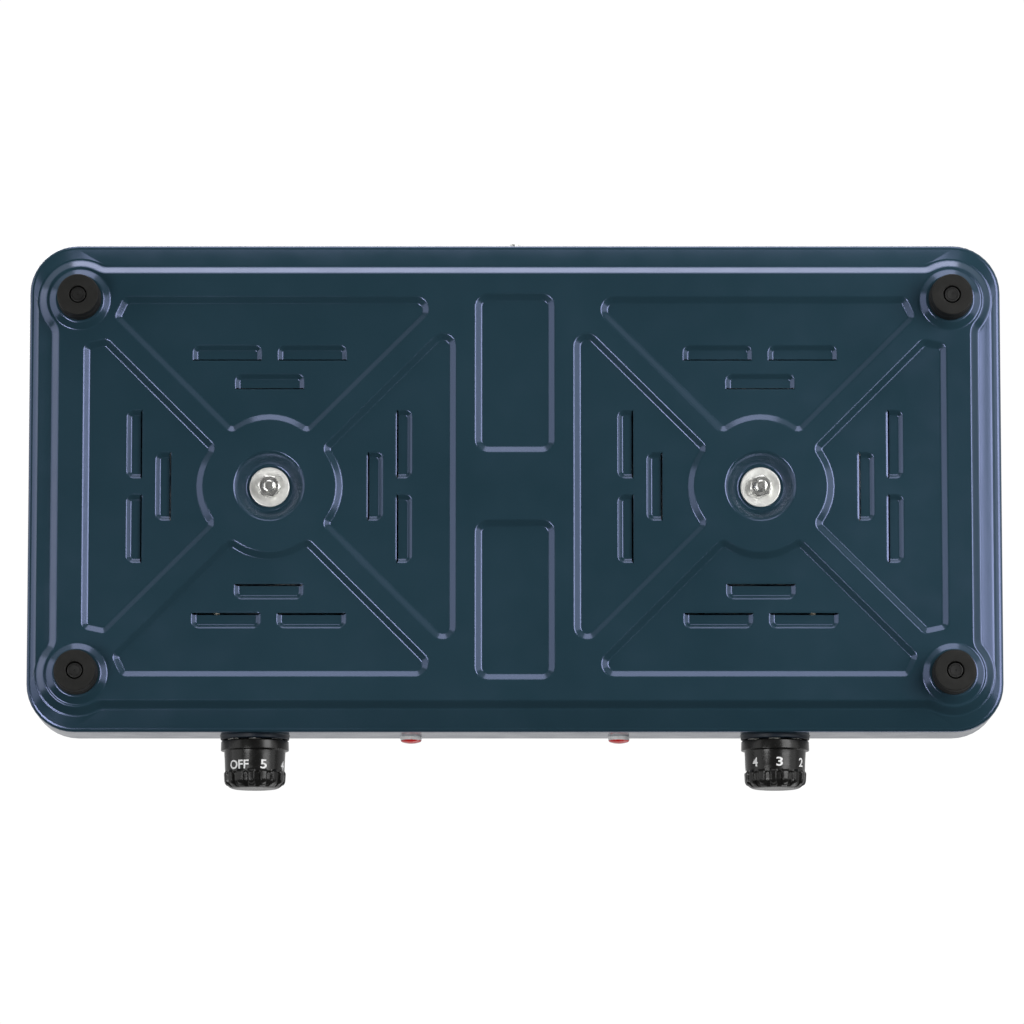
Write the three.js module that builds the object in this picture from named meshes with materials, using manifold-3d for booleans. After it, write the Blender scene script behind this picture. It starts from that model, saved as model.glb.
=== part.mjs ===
// Portable two-plate electric cooker: a drawn steel housing over a stamped bottom pan on four
// rubber feet, two cast-iron hotplates on centre studs, and two thermostats with front knobs.
// Millimetres, +Z up, the feet stand at z = 0 and the knobs are on the -Y side.

import * as THREE from 'three';
import { mergeVertices } from 'three/addons/utils/BufferGeometryUtils.js';
import Module from 'manifold-3d';

const wasm = await Module();
wasm.setup();

// Body
const BODY_LENGTH = 486;
const BODY_WIDTH = 245;
const BODY_CORNER = 24;
const GAP = 0.3; // clearance between pieces that touch

// Heights of the stamped pan, the sheet's underside
const BOSS_Z = 14;
const RIB_Z = 16.5;
const PANEL_Z = 18.7;
const RIM_Z = 20;
const DISH_Z = 22.5;
const SKIRT_TOP_Z = 27;
const PAN_SHEET = 1;
const PAN_BEND = 3;

// Pan outlines
const FRAME_INSET = 13; // from the body's edge to the raised frame
const PANEL_HALF_X = 91.5;
const PANEL_HALF_Y = 94;
const RIB_HALF = 7;
const RING_RADIUS = 34;
const DISH_RADIUS = 17.5;
const DISH_FLOOR_RADIUS = 11.5;
const MIDDLE_POCKET = { width: 36.5, length: 77, corner: 5, y: 57 };
const LOUVRE = { length: 35, slit: 2, outerRow: 64.5, innerRow: 50, spacing: 21.25 };

// Feet
const FOOT_X = 217.5;
const FOOT_Y = 94;
const BOSS_RADIUS = 15.5;
const FOOT_RADIUS = 10.25;
const FOOT_HOLE_RADIUS = 4.2;

// Housing
const HOUSING_SHEET = 1.2;
const HOUSING_EDGE = 9; // rounding between the deck and the walls
const DECK_Z = 66;
const COLLAR_RADIUS = 90;
const COLLAR_RISE = 2.5;
const OPENING_RADIUS = 72.5;

// Hotplates
const PLATE_X = 122.5;
const PLATE_RADIUS = 77.5;
const PLATE_TOP_Z = 80;
const STUD_RADIUS = 3;
const WASHER_RADIUS = 10;
const NUT_ACROSS_FLATS = 10;

// Controls
const CONTROL_Z = 44;
const KNOB_X = 130;
const KNOB_LENGTH = 25;
const KNOB_CLEARANCE = 2.8; // between the front wall and the knob's back
const KNOB_FLANGE_RADIUS = 17.5;
const KNOB_RADIUS = 15.4;
const SPINDLE_RADIUS = 3;
const LAMP_X = 52;
const LAMP_Z = 49;
const LAMP_RADIUS = 5.2;
const FRONT_Y = -BODY_WIDTH / 2;
const REAR_Y = BODY_WIDTH / 2;
const KNOB_BACK_Y = FRONT_Y - KNOB_CLEARANCE;

const enamel = new THREE.MeshStandardMaterial({ color: 0x243a46, roughness: 0.25, metalness: 0.1 });
const castIron = new THREE.MeshStandardMaterial({ color: 0x2a2a2c, roughness: 0.8, metalness: 0.4 });
const stainless = new THREE.MeshStandardMaterial({ color: 0xb8bcc0, roughness: 0.3, metalness: 1 });
const zincSteel = new THREE.MeshStandardMaterial({ color: 0xb4b4ac, roughness: 0.4, metalness: 0.9 });
const aluminised = new THREE.MeshStandardMaterial({ color: 0x9a9da0, roughness: 0.5, metalness: 0.8 });
const rubber = new THREE.MeshStandardMaterial({ color: 0x222220, roughness: 0.8, metalness: 0 });
const blackPlastic = new THREE.MeshStandardMaterial({ color: 0x1e1e1d, roughness: 0.4, metalness: 0 });
const redLens = new THREE.MeshStandardMaterial({ color: 0xc81e28, roughness: 0.15, metalness: 0 });
const lampPlastic = new THREE.MeshStandardMaterial({ color: 0xd8d4c8, roughness: 0.5, metalness: 0 });
const steatite = new THREE.MeshStandardMaterial({ color: 0xe6e0d2, roughness: 0.6, metalness: 0 });
const brass = new THREE.MeshStandardMaterial({ color: 0xb8924a, roughness: 0.35, metalness: 1 });
const wireSleeve = new THREE.MeshStandardMaterial({ color: 0xc9c2ae, roughness: 0.8, metalness: 0 });

const stove = new THREE.Group();

// Closed three.js geometry to a manifold-3d solid, and back.
function solid(geometry) {
  const bare = geometry.clone();
  bare.deleteAttribute('normal');
  bare.deleteAttribute('uv');
  const merged = mergeVertices(bare, 1e-4);
  return new wasm.Manifold(new wasm.Mesh({
    numProp: 3,
    vertProperties: Float32Array.from(merged.attributes.position.array),
    triVerts: Uint32Array.from(merged.index.array),
  }));
}

function geometryOf(body) {
  const mesh = body.getMesh();
  const geometry = new THREE.BufferGeometry();
  geometry.setAttribute('position', new THREE.BufferAttribute(mesh.vertProperties, 3));
  geometry.setIndex(new THREE.BufferAttribute(mesh.triVerts, 1));
  geometry.computeVertexNormals();
  return geometry;
}

function addPart(name, shape, material) {
  const geometry = shape.isBufferGeometry ? shape : geometryOf(shape);
  const mesh = new THREE.Mesh(geometry, material);
  mesh.name = name;
  stove.add(mesh);
}

function roundedRect(width, height, radius, x = 0, y = 0) {
  const shape = new THREE.Shape();
  const right = x + width / 2 - radius;
  const left = x - width / 2 + radius;
  const top = y + height / 2 - radius;
  const bottom = y - height / 2 + radius;
  shape.absarc(right, top, radius, 0, Math.PI / 2, false);
  shape.absarc(left, top, radius, Math.PI / 2, Math.PI, false);
  shape.absarc(left, bottom, radius, Math.PI, 1.5 * Math.PI, false);
  shape.absarc(right, bottom, radius, 1.5 * Math.PI, 2 * Math.PI, false);
  shape.closePath();
  return shape;
}

// Upright prism whose ends are drawn in by a bevel: its end faces carry the outline itself.
function prism(shape, low, high, bevel = 0, bevelSegments = 1, curveSegments = 4) {
  const geometry = new THREE.ExtrudeGeometry(shape, {
    depth: high - low - 2 * bevel,
    bevelEnabled: bevel > 0,
    bevelThickness: bevel,
    bevelSize: bevel,
    bevelSegments,
    curveSegments,
  });
  geometry.translate(0, 0, low + bevel);
  return geometry;
}

function box(width, depth, height, x, y, z) {
  return new THREE.BoxGeometry(width, depth, height).translate(x, y, z);
}

// Solid of revolution about a vertical line; the profile is [radius, z] pairs.
function turned(profile, x, y, segments = 20) {
  const points = profile.map(([radius, z]) => new THREE.Vector2(radius, z));
  const geometry = new THREE.LatheGeometry(points, segments);
  return geometry.rotateX(Math.PI / 2).translate(x, y, 0);
}

// Solid of revolution about a line along Y; the profile is [radius, y] pairs.
function turnedAlongY(profile, x, z, segments = 20) {
  const points = profile.map(([radius, y]) => new THREE.Vector2(radius, y));
  return new THREE.LatheGeometry(points, segments).translate(x, 0, z);
}

function rod(radius, low, high, x, y, segments = 12) {
  const geometry = new THREE.CylinderGeometry(radius, radius, high - low, segments);
  return geometry.rotateX(Math.PI / 2).translate(x, y, (low + high) / 2);
}

function rodAlongY(radius, near, far, x, z, segments = 12) {
  const geometry = new THREE.CylinderGeometry(radius, radius, far - near, segments);
  return geometry.translate(x, (near + far) / 2, z);
}

function cone(lowRadius, highRadius, low, high, x, y, segments = 16) {
  const geometry = new THREE.CylinderGeometry(highRadius, lowRadius, high - low, segments);
  return geometry.rotateX(Math.PI / 2).translate(x, y, (low + high) / 2);
}

function union(geometries) {
  return geometries.map(solid).reduce((whole, piece) => whole.add(piece));
}

const SIDES = [{ side: 'left', sign: -1 }, { side: 'right', sign: 1 }];
const CORNERS = [
  { corner: 'rear_left', x: -FOOT_X, y: FOOT_Y },
  { corner: 'rear_right', x: FOOT_X, y: FOOT_Y },
  { corner: 'front_left', x: -FOOT_X, y: -FOOT_Y },
  { corner: 'front_right', x: FOOT_X, y: -FOOT_Y },
];
const QUARTERS = [0, 1, 2, 3];

// ---- Bottom pan ----
// One of the four sunk panels round a hotplate centre, the one towards +Y: a straight outer edge,
// two sides along the diagonal ribs, and an arc round the centre ring.
function panelShape(halfAcross, halfOut) {
  const slope = Math.atan2(halfOut, halfAcross);
  const ribShift = RIB_HALF / Math.sin(slope);
  const outerX = halfAcross - ribShift;
  const step = RIB_HALF / RING_RADIUS;
  const startAngle = slope + Math.asin(step);
  const shape = new THREE.Shape();
  const corner = 5;
  const along = new THREE.Vector2(Math.cos(slope), Math.sin(slope)).multiplyScalar(corner);
  shape.moveTo(outerX - corner, halfOut);
  shape.lineTo(corner - outerX, halfOut);
  shape.quadraticCurveTo(-outerX, halfOut, along.x - outerX, halfOut - along.y);
  shape.absarc(0, 0, RING_RADIUS, Math.PI - startAngle, startAngle, true);
  shape.lineTo(outerX - along.x, halfOut - along.y);
  shape.quadraticCurveTo(outerX, halfOut, outerX - corner, halfOut);
  return shape;
}

function pocket(shape, lift, quarter = 0, x = 0) {
  const depth = PANEL_Z - RIB_Z;
  const geometry = prism(shape, PANEL_Z - 4 * depth, PANEL_Z, depth, 1, 2);
  return geometry.rotateZ(quarter * Math.PI / 2).translate(x, 0, lift);
}

// Everything above the pan's underside, lifted and drawn in: two of these differ by the sheet.
function panVolume(lift, inset) {
  const bend = PAN_BEND - inset;
  const draw = 2 * (inset + bend);
  const floor = roundedRect(BODY_LENGTH - draw, BODY_WIDTH - draw, BODY_CORNER - inset - bend);
  const frame = roundedRect(BODY_LENGTH - 2 * FRAME_INSET, BODY_WIDTH - 2 * FRAME_INSET, 16);
  const frameDrop = RIM_Z - RIB_Z;
  let volume = union([
    prism(floor, RIM_Z + lift, SKIRT_TOP_Z + 8, bend, 2),
    prism(frame, RIB_Z + lift, SKIRT_TOP_Z + lift, frameDrop, 1, 2),
  ]);
  for (const { sign } of SIDES) {
    for (const quarter of QUARTERS) {
      const turnedOver = quarter % 2 === 1;
      const shape = turnedOver
        ? panelShape(PANEL_HALF_Y, PANEL_HALF_X)
        : panelShape(PANEL_HALF_X, PANEL_HALF_Y);
      volume = volume.subtract(solid(pocket(shape, lift, quarter, sign * PLATE_X)));
    }
    const slope = (DISH_RADIUS - DISH_FLOOR_RADIUS) / (DISH_Z - RIB_Z);
    const dish = cone(DISH_RADIUS + slope, DISH_FLOOR_RADIUS, RIB_Z - 1, DISH_Z, sign * PLATE_X, 0);
    volume = volume.subtract(solid(dish.translate(0, 0, lift)));
    const { width, length, corner, y } = MIDDLE_POCKET;
    volume = volume.subtract(solid(pocket(roundedRect(width, length, corner, 0, sign * y), lift)));
  }
  for (const { x, y } of CORNERS) {
    const boss = cone(BOSS_RADIUS, BOSS_RADIUS + RIM_Z - BOSS_Z, BOSS_Z, RIM_Z, x, y, 14);
    volume = volume.add(solid(boss.translate(0, 0, lift)));
  }
  return volume;
}

function louvreSlits(x) {
  const slits = [];
  const { length, slit, outerRow, innerRow, spacing } = LOUVRE;
  for (const quarter of QUARTERS) {
    for (const [across, out] of [[-spacing, outerRow], [spacing, outerRow], [0, innerRow]]) {
      const cut = box(length, slit, 8, across, out, PANEL_Z);
      slits.push(cut.rotateZ(quarter * Math.PI / 2).translate(x, 0, 0));
    }
  }
  return slits;
}

function bottomPan() {
  const above = box(2 * BODY_LENGTH, 2 * BODY_WIDTH, 20, 0, 0, SKIRT_TOP_Z + 10);
  let pan = panVolume(0, 0).subtract(solid(above));
  pan = pan.subtract(panVolume(PAN_SHEET, PAN_SHEET));
  const cuts = [];
  for (const { sign } of SIDES) {
    cuts.push(...louvreSlits(sign * PLATE_X));
    cuts.push(rod(STUD_RADIUS + 0.4, DISH_Z - 3, DISH_Z + 3, sign * PLATE_X, 0));
  }
  for (const { x, y } of CORNERS) {
    cuts.push(rod(FOOT_HOLE_RADIUS, BOSS_Z - 2, BOSS_Z + 3, x, y));
  }
  return pan.subtract(union(cuts));
}
addPart('bottom_pan', bottomPan(), enamel);

// ---- Top housing ----
// Drawn shell with rounded deck edges, a raised collar round each opening, and holes in its
// front wall for the spindles, thermostat screws and lamps, and in its rear wall for the gland.
const SCREW_SPREAD = 11; // thermostat screws, either side of the spindle
const GLAND_X = 0;
const GLAND_Z = 48;
const GLAND_HOLE_RADIUS = 7;
const EARTH_X = 34;
const BLOCK_Z = 32; // terminal block, on the rear wall under the gland
const SCREW_RADIUS = 1.5;
const SCREW_HOLE = SCREW_RADIUS + GAP;

function housingVolume(inset) {
  const edge = HOUSING_EDGE - inset;
  const draw = 2 * HOUSING_EDGE;
  const outline = roundedRect(BODY_LENGTH - draw, BODY_WIDTH - draw, BODY_CORNER - HOUSING_EDGE);
  let volume = solid(prism(outline, 0, DECK_Z - inset, edge, 3));
  for (const { sign } of SIDES) {
    const collar = cone(COLLAR_RADIUS + 5, COLLAR_RADIUS, DECK_Z - 5, DECK_Z + COLLAR_RISE, 0, 0, 28);
    volume = volume.add(solid(collar.translate(sign * PLATE_X, 0, -inset)));
  }
  return volume;
}

function topHousing() {
  const low = SKIRT_TOP_Z + GAP;
  const below = box(2 * BODY_LENGTH, 2 * BODY_WIDTH, 2 * low, 0, 0, 0);
  const shell = housingVolume(0).subtract(solid(below)).subtract(housingVolume(HOUSING_SHEET));
  const cuts = [rodAlongY(GLAND_HOLE_RADIUS, REAR_Y - 5, REAR_Y + 5, GLAND_X, GLAND_Z, 16)];
  cuts.push(rodAlongY(SCREW_HOLE, REAR_Y - 5, REAR_Y + 5, EARTH_X, GLAND_Z));
  cuts.push(rodAlongY(SCREW_HOLE, REAR_Y - 5, REAR_Y + 5, GLAND_X, BLOCK_Z));
  for (const { sign } of SIDES) {
    cuts.push(rod(OPENING_RADIUS, DECK_Z - 8, DECK_Z + 8, sign * PLATE_X, 0, 28));
    cuts.push(rodAlongY(4.5, FRONT_Y - 5, FRONT_Y + 5, sign * KNOB_X, CONTROL_Z));
    cuts.push(rodAlongY(4.8, FRONT_Y - 5, FRONT_Y + 5, sign * LAMP_X, LAMP_Z));
    for (const shift of [-SCREW_SPREAD, SCREW_SPREAD]) {
      cuts.push(rodAlongY(SCREW_HOLE, FRONT_Y - 5, FRONT_Y + 5, sign * KNOB_X + shift, CONTROL_Z));
    }
  }
  return shell.subtract(union(cuts));
}
addPart('top_housing', topHousing(), enamel);

// ---- Hotplates ----
const COLLAR_TOP_Z = DECK_Z + COLLAR_RISE;
const RING_THICKNESS = 1.2;
const RING_TOP_Z = COLLAR_TOP_Z + GAP + RING_THICKNESS;
const PLATE_SEAT_Z = RING_TOP_Z + GAP; // underside of the hotplate's rim
const PLATE_SKIRT_Z = 60;
const REFLECTOR_Z = 50;
const STUD_TOP_Z = 72;
const STUD_LOW_Z = 13;

// Cast disc: rim on the trim ring, skirt down into the opening, sunk middle and a tapped boss.
function hotplate(x) {
  const skirt = 70.5;
  const boss = 9;
  const bore = STUD_RADIUS + GAP;
  return turned([
    [0, PLATE_TOP_Z - 1.5],
    [18, PLATE_TOP_Z - 1.5],
    [20, PLATE_TOP_Z],
    [PLATE_RADIUS - 1.5, PLATE_TOP_Z],
    [PLATE_RADIUS, PLATE_TOP_Z - 1.5],
    [PLATE_RADIUS, PLATE_SEAT_Z],
    [skirt, PLATE_SEAT_Z],
    [skirt, PLATE_SKIRT_Z],
    [skirt - 4, PLATE_SKIRT_Z],
    [skirt - 5, PLATE_SEAT_Z],
    [boss, PLATE_SEAT_Z],
    [boss, PLATE_SKIRT_Z],
    [bore, PLATE_SKIRT_Z],
    [bore, STUD_TOP_Z + GAP],
    [0, STUD_TOP_Z + GAP],
  ].reverse(), x, 0, 28);
}

// Pressed stainless ring between the hotplate's rim and the housing's collar.
function trimRing(x) {
  const inner = OPENING_RADIUS + GAP;
  const low = RING_TOP_Z - RING_THICKNESS;
  const lip = PLATE_RADIUS + 1;
  return turned([
    [inner, low],
    [lip + 6, low],
    [lip + 6, low + 1],
    [lip + 2, RING_TOP_Z + 1.5],
    [lip, RING_TOP_Z + 1.5],
    [lip, RING_TOP_Z],
    [inner, RING_TOP_Z],
    [inner, low],
  ], x, 0, 28);
}

// Dished heat reflector under each hotplate, with a notch for the supply terminal.
const REFLECTOR_SHEET = 0.8;
const TERMINAL_Y = 34; // terminal's place behind the stud
function reflector(x) {
  const rim = 66;
  const rimZ = REFLECTOR_Z + 5;
  const hole = STUD_RADIUS + GAP;
  const dish = turned([
    [hole, REFLECTOR_Z],
    [rim - 6, REFLECTOR_Z],
    [rim, rimZ],
    [rim, rimZ + REFLECTOR_SHEET],
    [rim - 6.4, REFLECTOR_Z + REFLECTOR_SHEET],
    [hole, REFLECTOR_Z + REFLECTOR_SHEET],
    [hole, REFLECTOR_Z],
  ], x, 0, 20);
  return solid(dish).subtract(solid(box(26, 14, 10, x, TERMINAL_Y, REFLECTOR_Z)));
}

// Steatite block that carries a hotplate's two supply pins.
const TERMINAL_HEIGHT = 20;
const PIN_SPREAD = 6;
const PIN_LOW_Z = 44;
function plateTerminal(x) {
  const middle = PLATE_SEAT_Z - GAP - TERMINAL_HEIGHT / 2;
  const block = box(22, 10, TERMINAL_HEIGHT, x, TERMINAL_Y, middle);
  const pins = [-1, 1].map((end) => rod(1.5, PIN_LOW_Z, middle, x + end * PIN_SPREAD, TERMINAL_Y, 8));
  return union([block, ...pins]);
}

function hexagon(acrossFlats, low, high, holeRadius, x, y) {
  const shape = new THREE.Shape();
  const radius = acrossFlats / Math.sqrt(3);
  for (let i = 0; i < 6; i += 1) {
    const angle = i * Math.PI / 3;
    const point = [radius * Math.cos(angle), radius * Math.sin(angle)];
    if (i === 0) shape.moveTo(...point);
    else shape.lineTo(...point);
  }
  shape.closePath();
  const hole = new THREE.Path();
  hole.absarc(0, 0, holeRadius, 0, 2 * Math.PI, true);
  shape.holes.push(hole);
  return prism(shape, low, high, 0, 1, 8).translate(x, y, 0);
}

function tube(inner, outer, low, high, x, y, segments = 12) {
  return turned([[inner, low], [outer, low], [outer, high], [inner, high], [inner, low]], x, y, segments);
}

const WASHER_TOP_Z = DISH_Z - GAP;
const WASHER_THICKNESS = 1.2;
const NUT_HEIGHT = 5;
const NUT_TOP_Z = WASHER_TOP_Z - WASHER_THICKNESS - GAP;
const HOLE = STUD_RADIUS + GAP;
const SPACER_RADIUS = 5.5;

for (const { side, sign } of SIDES) {
  const x = sign * PLATE_X;
  addPart(`hotplate_${side}`, hotplate(x), castIron);
  addPart(`trim_ring_${side}`, trimRing(x), stainless);
  addPart(`reflector_${side}`, reflector(x), aluminised);
  addPart(`plate_terminal_${side}`, plateTerminal(x), steatite);
  addPart(`centre_stud_${side}`, rod(STUD_RADIUS, STUD_LOW_Z, STUD_TOP_Z, x, 0), zincSteel);
  const lowSpacer = tube(HOLE, SPACER_RADIUS, DISH_Z + PAN_SHEET + GAP, REFLECTOR_Z - GAP, x, 0);
  addPart(`spacer_${side}`, lowSpacer, zincSteel);
  const highSpacerLow = REFLECTOR_Z + REFLECTOR_SHEET + GAP;
  const highSpacer = tube(HOLE, SPACER_RADIUS, highSpacerLow, PLATE_SKIRT_Z - GAP, x, 0);
  addPart(`reflector_spacer_${side}`, highSpacer, zincSteel);
  const washer = tube(HOLE, WASHER_RADIUS, WASHER_TOP_Z - WASHER_THICKNESS, WASHER_TOP_Z, x, 0, 20);
  addPart(`stud_washer_${side}`, washer, zincSteel);
  const nut = hexagon(NUT_ACROSS_FLATS, NUT_TOP_Z - NUT_HEIGHT, NUT_TOP_Z, HOLE, x, 0);
  addPart(`stud_nut_${side}`, nut, zincSteel);
}

// ---- Feet ----
// Moulded rubber foot pushed through the boss, spread from inside by a plastic pin.
function foot(x, y) {
  const stem = FOOT_HOLE_RADIUS - GAP;
  const sheetTop = BOSS_Z + PAN_SHEET;
  const bore = 2.4;
  return turned([
    [4.3, 0],
    [FOOT_RADIUS - 0.8, 0],
    [FOOT_RADIUS, 0.8],
    [FOOT_RADIUS + 0.7, BOSS_Z - GAP],
    [stem, BOSS_Z - GAP],
    [stem, sheetTop + GAP],
    [5.6, sheetTop + GAP],
    [3.6, sheetTop + 5],
    [bore, sheetTop + 5],
    [bore, 3],
    [4.3, 3],
    [4.3, 0],
  ], x, y, 16);
}

function footPin(x, y) {
  return turned([
    [0, 0.6],
    [4, 0.6],
    [4, 2.7],
    [2.1, 2.7],
    [2.1, BOSS_Z + 6],
    [0, BOSS_Z + 6],
  ], x, y, 10);
}

for (const { corner, x, y } of CORNERS) {
  addPart(`foot_${corner}`, foot(x, y), rubber);
  addPart(`foot_pin_${corner}`, footPin(x, y), blackPlastic);
}

// ---- Knobs and thermostats ----
const KNOB_FRONT_Y = KNOB_BACK_Y - KNOB_LENGTH;
const SPINDLE_FRONT_Y = KNOB_FRONT_Y + 6;
const THERMOSTAT_FRONT_Y = FRONT_Y + HOUSING_SHEET + GAP + 2.3;
const THERMOSTAT_DEPTH = 16;
const THERMOSTAT_REAR_Y = THERMOSTAT_FRONT_Y + THERMOSTAT_DEPTH;
const SPINDLE_REAR_Y = THERMOSTAT_REAR_Y + 3;
const D_FLAT = 2; // from the axis to the flat of the D-shaped spindle end

function dShape(radius, flat) {
  const shape = new THREE.Shape();
  const angle = Math.acos(flat / radius);
  shape.absarc(0, 0, radius, angle, 2 * Math.PI - angle, false);
  shape.closePath();
  return shape;
}

function alongY(shape, near, far, x, z, curveSegments = 12) {
  const settings = { depth: far - near, bevelEnabled: false, curveSegments };
  const geometry = new THREE.ExtrudeGeometry(shape, settings);
  return geometry.rotateX(Math.PI / 2).translate(x, far, z);
}

// Moulded knob: skirt flange at the back, a tapered barrel and a ribbed grip, hollow behind.
function knob(x) {
  const barrel = turnedAlongY([
    [0, KNOB_FRONT_Y],
    [12.5, KNOB_FRONT_Y],
    [14.4, KNOB_FRONT_Y + 1.6],
    [KNOB_RADIUS, KNOB_BACK_Y - 5.5],
    [KNOB_FLANGE_RADIUS, KNOB_BACK_Y - 4.5],
    [KNOB_FLANGE_RADIUS, KNOB_BACK_Y],
    [15, KNOB_BACK_Y],
    [13.4, KNOB_BACK_Y - 10],
    [6, KNOB_BACK_Y - 10],
    [6, KNOB_BACK_Y],
    [0, KNOB_BACK_Y],
  ], x, CONTROL_Z, 20);
  const grip = new THREE.Shape();
  const ribs = 18;
  for (let i = 0; i < ribs; i += 1) {
    for (const [share, radius] of [[0, 15.4], [0.3, 15.4], [0.45, 14.2], [0.85, 14.2]]) {
      const angle = (i + share) * 2 * Math.PI / ribs;
      const point = [radius * Math.cos(angle), radius * Math.sin(angle)];
      if (i + share === 0) grip.moveTo(...point);
      else grip.lineTo(...point);
    }
  }
  grip.closePath();
  const ribbed = alongY(grip, KNOB_FRONT_Y + 1.8, KNOB_FRONT_Y + 9.5, x, CONTROL_Z);
  const boreShape = dShape(SPINDLE_RADIUS + GAP, D_FLAT + GAP);
  const bore = alongY(boreShape, SPINDLE_FRONT_Y - GAP, KNOB_BACK_Y + 2, x, CONTROL_Z);
  return union([barrel, ribbed]).subtract(solid(bore));
}

function spindle(x) {
  const flatted = alongY(dShape(SPINDLE_RADIUS, D_FLAT), SPINDLE_FRONT_Y, KNOB_BACK_Y + 1, x, CONTROL_Z);
  const round = rodAlongY(SPINDLE_RADIUS, KNOB_BACK_Y, SPINDLE_REAR_Y, x, CONTROL_Z);
  const collar = rodAlongY(5, THERMOSTAT_REAR_Y + GAP, SPINDLE_REAR_Y + 2, x, CONTROL_Z);
  return union([flatted, round, collar]);
}

// Steatite base with the spindle's bore, two supply tags and tapped holes for its screws.
function thermostatBase(x) {
  const block = box(32, THERMOSTAT_DEPTH, 24, x, THERMOSTAT_FRONT_Y + THERMOSTAT_DEPTH / 2, CONTROL_Z);
  const cuts = [rodAlongY(SPINDLE_RADIUS + GAP, FRONT_Y, SPINDLE_REAR_Y, x, CONTROL_Z)];
  for (const shift of [-SCREW_SPREAD, SCREW_SPREAD]) {
    cuts.push(rodAlongY(SCREW_HOLE, FRONT_Y, THERMOSTAT_FRONT_Y + 10, x + shift, CONTROL_Z));
  }
  return solid(block).subtract(union(cuts));
}

// Flat steel bracket between the front wall and the thermostat.
function thermostatBracket(x) {
  const near = FRONT_Y + HOUSING_SHEET + GAP;
  const plate = box(36, 2, 20, x, near + 1, CONTROL_Z);
  const cuts = [rodAlongY(SPINDLE_RADIUS + GAP, FRONT_Y, FRONT_Y + 8, x, CONTROL_Z)];
  for (const shift of [-SCREW_SPREAD, SCREW_SPREAD]) {
    cuts.push(rodAlongY(SCREW_HOLE, FRONT_Y, FRONT_Y + 8, x + shift, CONTROL_Z));
  }
  return solid(plate).subtract(union(cuts));
}

// Pan-head screw through a front or rear wall; outward is -1 on the front wall and 1 on the rear.
function panScrew(x, z, wallY, outward, length) {
  const tip = wallY - outward * length;
  const seat = wallY + outward * GAP;
  const top = seat + outward * 1.6;
  return union([
    rodAlongY(2.7, Math.min(seat, top), Math.max(seat, top), x, z),
    rodAlongY(SCREW_RADIUS, Math.min(tip, top), Math.max(tip, top), x, z, 8),
  ]);
}

// Bimetal blade behind the thermostat base, held off it by a steatite post.
const BLADE_Y = SPINDLE_REAR_Y + 2 + GAP;
const BLADE_THICKNESS = 0.8;
function bimetalStrip(x) {
  return box(44, BLADE_THICKNESS, 6, x + 6, BLADE_Y + BLADE_THICKNESS / 2, CONTROL_Z);
}

function bladePost(x) {
  return rodAlongY(3, THERMOSTAT_REAR_Y + GAP, BLADE_Y - GAP, x + 12.5, CONTROL_Z, 8);
}

for (const { side, sign } of SIDES) {
  const x = sign * KNOB_X;
  addPart(`knob_${side}`, knob(x), blackPlastic);
  addPart(`spindle_${side}`, spindle(x), zincSteel);
  addPart(`thermostat_base_${side}`, thermostatBase(x), steatite);
  addPart(`thermostat_bracket_${side}`, thermostatBracket(x), zincSteel);
  addPart(`bimetal_strip_${side}`, bimetalStrip(x), brass);
  addPart(`blade_post_${side}`, bladePost(x), steatite);
  for (const [end, shift] of [['a', -SCREW_SPREAD], ['b', SCREW_SPREAD]]) {
    const screw = panScrew(x + shift, CONTROL_Z, FRONT_Y, -1, 12);
    addPart(`thermostat_screw_${side}_${end}`, screw, zincSteel);
  }
}

// ---- Indicator lamps ----
for (const { side, sign } of SIDES) {
  const x = sign * LAMP_X;
  const lens = turnedAlongY([
    [0, FRONT_Y - 2.2],
    [2.6, FRONT_Y - 2],
    [4.4, FRONT_Y - 1.2],
    [LAMP_RADIUS, FRONT_Y - GAP],
    [4.5, FRONT_Y - GAP],
    [4.5, FRONT_Y + 4],
    [0, FRONT_Y + 4],
  ], x, LAMP_Z, 20);
  addPart(`lamp_lens_${side}`, lens, redLens);
  const holder = turnedAlongY([
    [4.8, FRONT_Y + HOUSING_SHEET + GAP],
    [6.5, FRONT_Y + HOUSING_SHEET + GAP],
    [6.5, FRONT_Y + 4],
    [5.4, FRONT_Y + 5],
    [5.4, FRONT_Y + 22],
    [0, FRONT_Y + 22],
    [0, FRONT_Y + 4.3],
    [4.8, FRONT_Y + 4.3],
    [4.8, FRONT_Y + HOUSING_SHEET + GAP],
  ], x, LAMP_Z, 16);
  addPart(`lamp_holder_${side}`, holder, lampPlastic);
}

// ---- Supply inlet ----
const GLAND_BORE = 4;
const GLAND_REACH = 4; // how far the gland stands out of the rear wall
const gland = turnedAlongY([
  [GLAND_BORE, REAR_Y - 8],
  [GLAND_HOLE_RADIUS - GAP, REAR_Y - 8],
  [GLAND_HOLE_RADIUS - GAP, REAR_Y + GAP],
  [9.5, REAR_Y + GAP],
  [9, REAR_Y + GLAND_REACH],
  [GLAND_BORE, REAR_Y + GLAND_REACH],
  [GLAND_BORE, REAR_Y - 8],
], GLAND_X, GLAND_Z, 16);
addPart('cable_gland', gland, blackPlastic);

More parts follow.
